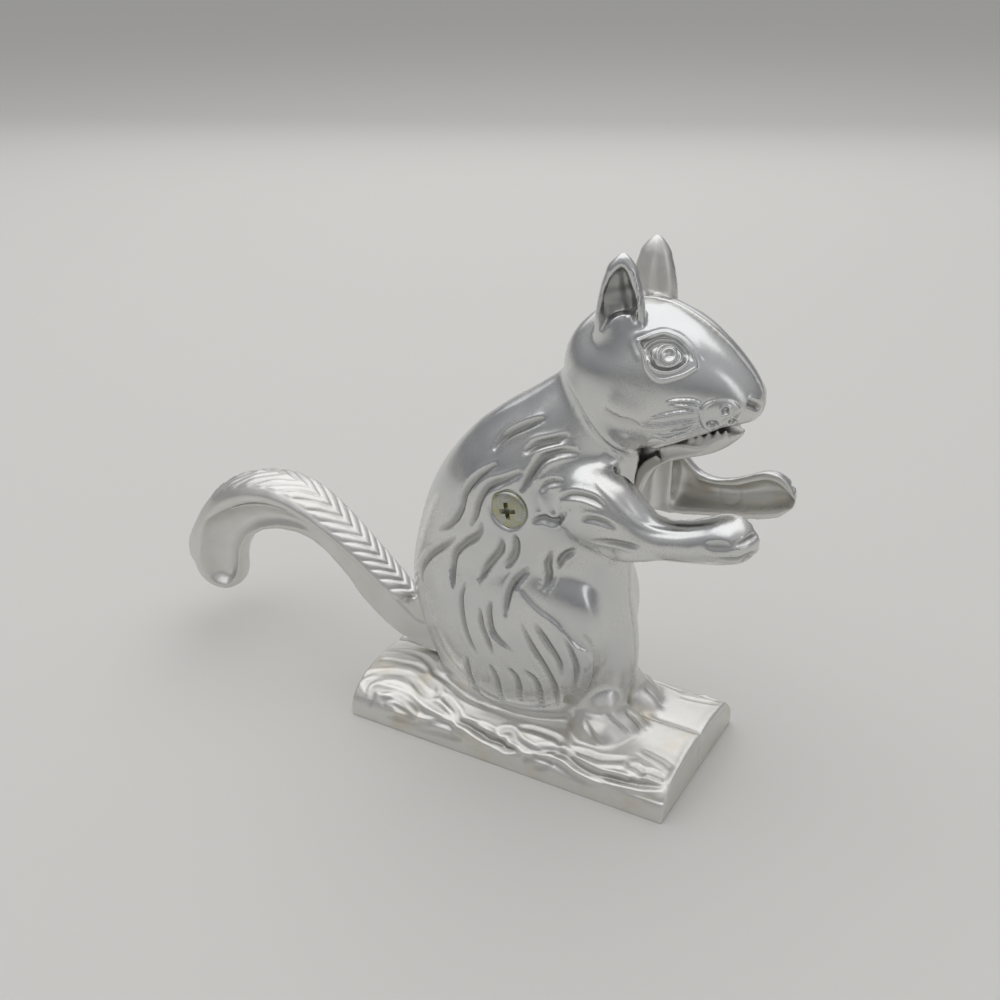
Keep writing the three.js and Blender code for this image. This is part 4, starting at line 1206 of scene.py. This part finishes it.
fit(right_half, "right_body_half", "body")
fit(left_half, "left_body_half", "body")
fit(lever, "tail_lever", "lever")
for piece in (right_half, left_half, lever):
    shade_smooth(piece)


# Screws, nut and washers

SPIN_STEPS = 48
SHARP_ANGLE = math.radians(35)
BEVEL_ANGLE = math.radians(40)
BEVEL_SEGMENTS = 3
RING_BORES_MM = {"pivot_washer": 3.3, "pivot_nut": 3.3, "pivot_sleeve": 3.3, "lever_washer_right": 4.8,
                 "lever_washer_left": 4.8}

# The pan head: its edge at the foot, how high its side is straight, and its round top
HEAD_FOOT_MM = 0.25
HEAD_SIDE_SHARE = 0.45
HEAD_ROUND_SHARE = 0.4
HEAD_ROUND_MM = 1.4
HEAD_ROUND_DEG = (20, 40, 60, 80)
HEAD_TOP = ((0.55, 0.08), (0.3, 0), (0, 0))

# The shank: its point, where the thread starts and how long it is, and how deep it is cut, in pitches
POINT_MM = 0.9
THREAD_FROM_MM = 0.6
THREAD_MOST_MM = 14
THREAD_SHARE = 0.6
THREAD_DEPTH = 0.6
THREAD_CREST = (0.4, 0.6)
THREAD_RUN_OUT_MM = 0.5

# The recess for the driver
CROSS_TURN = math.radians(12)
WING_ABOVE_MM = 1
WING_TAPER = (0.45, 0.6, 1)

# The nut: how far its chamfers reach in from the flats and out past them, how high they are, and its mouth
NUT_CHAMFER_MM = (0.1, 1.2, 0.65)
NUT_MOUTH_MM = (1.2, 0.4)


def turned(profile, closed=False):
    """A shape in mm turned round Z from pairs of radius and height."""
    bm = bmesh.new()
    verts = [bm.verts.new((radius, 0, height)) for radius, height in profile]
    for a, b in zip(verts, verts[1:] + verts[:1] if closed else verts[1:]):
        bm.edges.new((a, b))
    bmesh.ops.spin(bm, geom=bm.verts[:] + bm.edges[:], cent=(0, 0, 0), axis=(0, 0, 1), angle=2 * math.pi,
                   steps=SPIN_STEPS, use_merge=True)
    bmesh.ops.remove_doubles(bm, verts=bm.verts, dist=WELD_MM)
    bmesh.ops.recalc_face_normals(bm, faces=bm.faces)
    return bm


def bevel_sharp(bm, width):
    sharp = [edge for edge in bm.edges if len(edge.link_faces) == 2 and edge.calc_face_angle() > BEVEL_ANGLE]
    bmesh.ops.bevel(bm, geom=sharp, offset=width, affect="EDGES", segments=BEVEL_SEGMENTS, profile=0.5,
                    material=-1, clamp_overlap=True)


def cut_with(piece, bm, operation="DIFFERENCE"):
    tool = link("tool", bm)
    boolean = piece.modifiers.new("cut", "BOOLEAN")
    boolean.operation = operation
    boolean.solver = "EXACT"
    boolean.object = tool
    applied(piece)
    bpy.data.objects.remove(tool)


def node_box(node):
    low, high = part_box(node)
    return np.array(low) / MM, np.array(high) / MM


def put_in_place(piece, node, side=1):
    """Lays a piece made in mm upwards along Z into the box of its node, with its top to this side of Y."""
    low, high = node_box(node)
    foot = (low + high) / 2
    foot[1] = low[1] if side > 0 else high[1]
    turn = Vector((0, side, 0)).to_track_quat("Z", "X").to_matrix().to_4x4()
    piece.data.transform(Matrix.Scale(MM, 4) @ Matrix.Translation(foot) @ turn)
    shade_smooth(piece)
    piece.data.set_sharp_from_angle(angle=SHARP_ANGLE)
    fit(piece, node, "body")
    return piece


def driver_wing(reach, width, top, depth, turn):
    """One of the two crossing wings of a driver's point, narrower downwards."""
    bm = bmesh.new()
    made = bmesh.ops.create_cube(bm, size=1)["verts"]
    bmesh.ops.scale(bm, vec=(reach, width, depth + WING_ABOVE_MM), verts=made)
    bmesh.ops.translate(bm, vec=(0, 0, top + (WING_ABOVE_MM - depth) / 2), verts=made)
    bmesh.ops.scale(bm, vec=WING_TAPER, verts=[v for v in made if v.co.z < top])
    bmesh.ops.rotate(bm, cent=(0, 0, 0), matrix=Matrix.Rotation(turn, 3, "Z"), verts=made)
    return bm


def thread_profile(radius, high, pitch):
    """The thread drawn as rings, up to high."""
    root = radius - THREAD_DEPTH * pitch
    profile = [(root, THREAD_FROM_MM)]
    for i in range(int((high - THREAD_FROM_MM) / pitch)):
        profile += [(radius, THREAD_FROM_MM + pitch * (i + crest)) for crest in THREAD_CREST]
        profile.append((root, THREAD_FROM_MM + pitch * (i + 1)))
    return profile


def cross_screw(node, name, side, shank, head_height, pitch, recess):
    """A pan-head screw with its head to this side of Y; the recess is a wing's reach, width and depth."""
    low, high = node_box(node)
    head = (high[0] - low[0]) / 2
    length = high[1] - low[1]
    neck = length - head_height
    thread = thread_profile(shank, min(THREAD_MOST_MM, THREAD_SHARE * neck), pitch)
    profile = [(0, 0), (shank - POINT_MM, 0), *thread, (shank, thread[-1][1] + THREAD_RUN_OUT_MM),
               (shank, neck), (head - HEAD_FOOT_MM, neck), (head, neck + HEAD_FOOT_MM),
               (head, neck + HEAD_SIDE_SHARE * head_height)]
    for angle in HEAD_ROUND_DEG:
        turn = math.radians(angle)
        profile.append((head - HEAD_ROUND_MM * (1 - math.cos(turn)),
                        neck + head_height * (HEAD_SIDE_SHARE + HEAD_ROUND_SHARE * math.sin(turn))))
    profile += [(out * head, length - below * head_height) for out, below in HEAD_TOP]
    piece = link(name, turned(profile))
    reach, width, depth = recess
    for turn in (CROSS_TURN, CROSS_TURN + math.pi / 2):
        cut_with(piece, driver_wing(reach, width, length, depth, turn))
    return put_in_place(piece, node, side)


def plain_ring(node, name, outer_edge):
    """A washer or sleeve along Y with its edges broken."""
    low, high = node_box(node)
    outer, thick = (high[0] - low[0]) / 2, high[1] - low[1]
    inner = RING_BORES_MM[node]
    bm = turned([(inner, 0), (outer, 0), (outer, thick), (inner, thick)], closed=True)
    bevel_sharp(bm, outer_edge)
    return put_in_place(link(name, bm), node)


def hex_nut(node, name):
    low, high = node_box(node)
    flats, corners, thick = high[0] - low[0], (high[2] - low[2]) / 2, high[1] - low[1]
    bm = bmesh.new()
    bmesh.ops.create_cone(bm, cap_ends=True, segments=6, radius1=corners, radius2=corners, depth=thick)
    bmesh.ops.translate(bm, vec=(0, 0, thick / 2), verts=bm.verts)
    piece = link(name, bm)
    rim, bore = flats / 2, RING_BORES_MM[node]
    inwards, outwards, rise = NUT_CHAMFER_MM
    cut_with(piece, turned([(0, -inwards), (rim - inwards, -inwards), (rim + outwards, rise),
                            (rim + outwards, thick - rise), (rim - inwards, thick + inwards),
                            (0, thick + inwards)]), "INTERSECT")
    wider, deep = NUT_MOUTH_MM
    cut_with(piece, turned([(0, -1), (bore + wider, -1), (bore, deep), (bore, thick - deep),
                            (bore + wider, thick + 1), (0, thick + 1)]))
    return put_in_place(piece, node)


M6 = {"shank": 3.0, "head_height": 3.0, "pitch": 1.0, "recess": (7.0, 1.7, 2.0)}
M4 = {"shank": 2.0, "head_height": 2.6, "pitch": 0.7, "recess": (4.6, 1.2, 1.5)}
pivot_screw = cross_screw("pivot_screw", "pivot_screw_m6", -1, **M6)
screws = [cross_screw("assembly_screw_head", "head_screw_m4", 1, **M4),
          cross_screw("assembly_screw_haunch", "haunch_screw_m4", 1, **M4)]
nut = hex_nut("pivot_nut", "pivot_nut_m6")
washer = plain_ring("pivot_washer", "pivot_washer_m6", 0.2)
sleeve = plain_ring("pivot_sleeve", "turned_sleeve", 0.3)
lever_washers = [plain_ring("lever_washer_right", "thrust_washer_right", 0.15),
                 plain_ring("lever_washer_left", "thrust_washer_left", 0.15)]


# Materials

# The middle of a noise's values, narrow and wide
NOISE_CORE = (0.35, 0.65)
NOISE_SPAN = (0.3, 0.7)
STAINED = (0.52, 0.7)


def linear(hex_colour):
    """A colour with an alpha of 1 from its sRGB code."""
    parts = [int(hex_colour[i:i + 2], 16) / 255 for i in (1, 3, 5)]
    return (*[p / 12.92 if p <= 0.04045 else ((p + 0.055) / 1.055) ** 2.4 for p in parts], 1)


def add_node(tree, kind, settings=(), **inputs):
    """Adds a node; an input is a value, or a socket that is linked to it."""
    node = tree.nodes.new(kind)
    for key, value in dict(settings).items():
        setattr(node, key, value)
    for key, value in inputs.items():
        socket = node.inputs[int(key[1:])] if key[0] == "_" else node.inputs[key.replace("_", " ")]
        if isinstance(value, bpy.types.NodeSocket):
            tree.links.new(value, socket)
        else:
            socket.default_value = value
    return node


def per_mm(size_mm):
    """Scale of a pattern whose features are about this size."""
    return 1 / (size_mm * MM)


def new_metal(name):
    material = bpy.data.materials.new(name)
    material.use_nodes = True
    tree = material.node_tree
    shader = tree.nodes["Principled BSDF"]
    shader.inputs["Metallic"].default_value = 1
    place = add_node(tree, "ShaderNodeTexCoord").outputs["Object"]
    return material, tree, shader, place


def noise(tree, place, size_mm, detail=3.0, roughness=0.5):
    return add_node(tree, "ShaderNodeTexNoise", Vector=place, Scale=per_mm(size_mm), Detail=detail,
                    Roughness=roughness).outputs["Fac"]


def mapped(tree, value, from_range, to_range=(0, 1)):
    (low, high), (to_low, to_high) = from_range, to_range
    return add_node(tree, "ShaderNodeMapRange", _0=value, _1=low, _2=high, _3=to_low,
                    _4=to_high).outputs["Result"]


def mixed(tree, share, first, second):
    """Mixes two colours or, given numbers, two values."""
    if isinstance(first, (tuple, bpy.types.NodeSocketColor)):
        node = add_node(tree, "ShaderNodeMix", {"data_type": "RGBA"}, _0=share, _6=first, _7=second)
        return node.outputs[2]
    return add_node(tree, "ShaderNodeMix", {"data_type": "FLOAT"}, _0=share, _2=first, _3=second).outputs[0]


def maths(tree, operation, first, second=0.0):
    return add_node(tree, "ShaderNodeMath", {"operation": operation}, _0=first, _1=second).outputs[0]


def attribute(tree, name):
    return add_node(tree, "ShaderNodeAttribute", {"attribute_name": name}).outputs["Fac"]


def bumped(tree, height, depth_mm, under=None):
    """Normals bent by the height, on top of those bent before."""
    inputs = {"Height": height, "Distance": depth_mm * MM, "Strength": 1.0}
    if under is not None:
        inputs["Normal"] = under
    return add_node(tree, "ShaderNodeBump", **inputs).outputs["Normal"]


def polished_and_tumbled_aluminium():
    """Die-cast aluminium. Buffed on the body: grey, mirror-like under a fine haze, duller down in the
    strokes, which the wheel doesn't reach, and darker there with painted shade. Left as tumbled on the log
    and feet: pale, satin, with faint warm stains."""
    material, tree, shader, place = new_metal("buffed_cast_aluminium")
    satin, cut = attribute(tree, "satin"), attribute(tree, "cut")
    clouds = noise(tree, place, 14, 3)
    specks = noise(tree, place, 0.9, 2, 0.6)
    buffed = mixed(tree, mapped(tree, clouds, NOISE_CORE), linear("#d6d7d7"), linear("#dededc"))
    stain = mapped(tree, noise(tree, place, 9, 2), STAINED)
    tumbled = mixed(tree, stain, linear("#e4e3df"), linear("#dfdacf"))
    colour = mixed(tree, satin, buffed, tumbled)
    # Painted shade: the colour goes darker grey (#979794) the deeper the skin is cut, in strokes, grooves and
    # grain
    colour = mixed(tree, maths(tree, "MULTIPLY", cut, 0.7), colour, linear("#979794"))
    tree.links.new(colour, shader.inputs["Base Color"])
    haze = maths(tree, "ADD", mapped(tree, clouds, NOISE_SPAN, (0.19, 0.29)),
                 mapped(tree, specks, NOISE_SPAN, (-0.02, 0.03)))
    haze = maths(tree, "ADD", haze, maths(tree, "MULTIPLY", cut, 0.12))
    grain = maths(tree, "ADD", mapped(tree, clouds, NOISE_SPAN, (0.36, 0.44)),
                  mapped(tree, specks, NOISE_SPAN, (-0.04, 0.05)))
    tree.links.new(mixed(tree, satin, haze, grain), shader.inputs["Roughness"])
    waves = bumped(tree, noise(tree, place, 5, 2), 0.045)
    tree.links.new(bumped(tree, specks, 0.008, waves), shader.inputs["Normal"])
    return material


def tumbled_aluminium():
    """Die-cast aluminium left as it came from the tumbler: an even, pale satin with a fine grain."""
    material, tree, shader, place = new_metal("tumbled_cast_aluminium")
    cut = attribute(tree, "cut")
    clouds = noise(tree, place, 11, 3)
    specks = noise(tree, place, 0.7, 2, 0.6)
    colour = mixed(tree, mapped(tree, clouds, NOISE_CORE), linear("#dedcd8"), linear("#e5e4e1"))
    # Painted shade: the colour goes darker (#a5a39d) the deeper the skin is cut, in the furrows between the
    # ridges
    colour = mixed(tree, maths(tree, "MULTIPLY", cut, 0.6), colour, linear("#a5a39d"))
    tree.links.new(colour, shader.inputs["Base Color"])
    rough = maths(tree, "ADD", mapped(tree, clouds, NOISE_SPAN, (0.36, 0.43)),
                  mapped(tree, specks, NOISE_SPAN, (-0.04, 0.05)))
    tree.links.new(rough, shader.inputs["Roughness"])
    waves = bumped(tree, noise(tree, place, 4, 2), 0.03)
    tree.links.new(bumped(tree, specks, 0.01, waves), shader.inputs["Normal"])
    return material


def zinc_plated_steel():
    """Steel screws, zinc-plated and passivated: grey with a greenish-yellow bloom in small crystals."""
    material, tree, shader, place = new_metal("zinc_plated_steel")
    crystals = add_node(tree, "ShaderNodeTexVoronoi", Vector=place, Scale=per_mm(0.8)).outputs["Color"]
    shade = add_node(tree, "ShaderNodeSeparateColor", Color=crystals).outputs[0]
    bloom = mapped(tree, noise(tree, place, 2.2, 3), NOISE_CORE)
    grey = mixed(tree, shade, linear("#a9aca9"), linear("#c0c2bf"))
    tree.links.new(mixed(tree, bloom, grey, linear("#b4b38f")), shader.inputs["Base Color"])
    tree.links.new(mapped(tree, shade, (0, 1), (0.26, 0.4)), shader.inputs["Roughness"])
    tree.links.new(bumped(tree, noise(tree, place, 0.5, 3), 0.012), shader.inputs["Normal"])
    return material


def turned_steel():
    """Free-cutting steel from the lathe: bright, with fine rings round its axis."""
    material, tree, shader, place = new_metal("turned_steel")
    low, high = node_box("pivot_sleeve")
    centred = add_node(tree, "ShaderNodeMapping", {"vector_type": "POINT"}, _0=place,
                       _1=tuple(-(low + high) / 2 * MM)).outputs[0]
    rings = add_node(tree, "ShaderNodeTexWave", {"wave_type": "RINGS", "rings_direction": "Y"},
                     Vector=centred, Scale=per_mm(6), Distortion=0.3).outputs["Fac"]
    shader.inputs["Base Color"].default_value = linear("#a9abad")
    tree.links.new(mapped(tree, rings, (0, 1), (0.24, 0.34)), shader.inputs["Roughness"])
    tree.links.new(bumped(tree, rings, 0.006), shader.inputs["Normal"])
    return material


buffed, tumbled = polished_and_tumbled_aluminium(), tumbled_aluminium()
zinc, steel = zinc_plated_steel(), turned_steel()
for material, pieces in ((buffed, [right_half, left_half]), (tumbled, [lever]),
                         (zinc, [pivot_screw, nut, washer, *screws]), (steel, [sleeve, *lever_washers]),
                         (zinc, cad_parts.values())):
    for piece in pieces:
        piece.data.materials.clear()
        piece.data.materials.append(material)


# Studio

FLOOR_HALF_M = 40
SKY_LOW = "#7a7b7d"
SKY_HIGH = "#b6b6b8"
SKY_TURNS = (0, 0.6)
OBJECT_MIDDLE = (0, 0, 0.08)


def softbox(name, place, target, size, radiance):
    """A lamp whose face is as bright as radiance; 1 shows white."""
    lamp = bpy.data.lights.new(name, "AREA")
    lamp.shape = "RECTANGLE"
    lamp.size, lamp.size_y = size
    lamp.energy = radiance * math.pi * size[0] * size[1]
    box = bpy.data.objects.new(name, lamp)
    bpy.context.scene.collection.objects.link(box)
    box.location = place
    box.rotation_euler = (Vector(target) - Vector(place)).to_track_quat("-Z", "Y").to_euler()


floor_bm = bmesh.new()
bmesh.ops.create_grid(floor_bm, x_segments=1, y_segments=1, size=FLOOR_HALF_M)
floor = link("floor", floor_bm)
floor_material = bpy.data.materials.new("pale_paper")
floor_material.use_nodes = True
floor_shader = floor_material.node_tree.nodes["Principled BSDF"]
floor_shader.inputs["Base Color"].default_value = linear("#d9d8d4")
floor_shader.inputs["Roughness"].default_value = 0.9
floor.data.materials.append(floor_material)

world = bpy.data.worlds.new("studio")
bpy.context.scene.world = world
world.use_nodes = True
sky = world.node_tree
way = add_node(sky, "ShaderNodeTexCoord").outputs["Generated"]
upwards = add_node(sky, "ShaderNodeSeparateXYZ", Vector=way).outputs["Z"]
sky.links.new(mixed(sky, mapped(sky, upwards, SKY_TURNS), linear(SKY_LOW), linear(SKY_HIGH)),
              sky.nodes["Background"].inputs["Color"])

softbox("overhead", (-0.2, 0.1, 1.15), OBJECT_MIDDLE, (2.2, 1.8), 0.78)
softbox("back_strip", (-0.5, 1.0, 0.45), OBJECT_MIDDLE, (1.4, 0.35), 0.75)
softbox("side_strip", (1.1, -0.3, 0.5), OBJECT_MIDDLE, (0.25, 0.8), 0.75)
bpy.context.scene.view_settings.view_transform = "Standard"
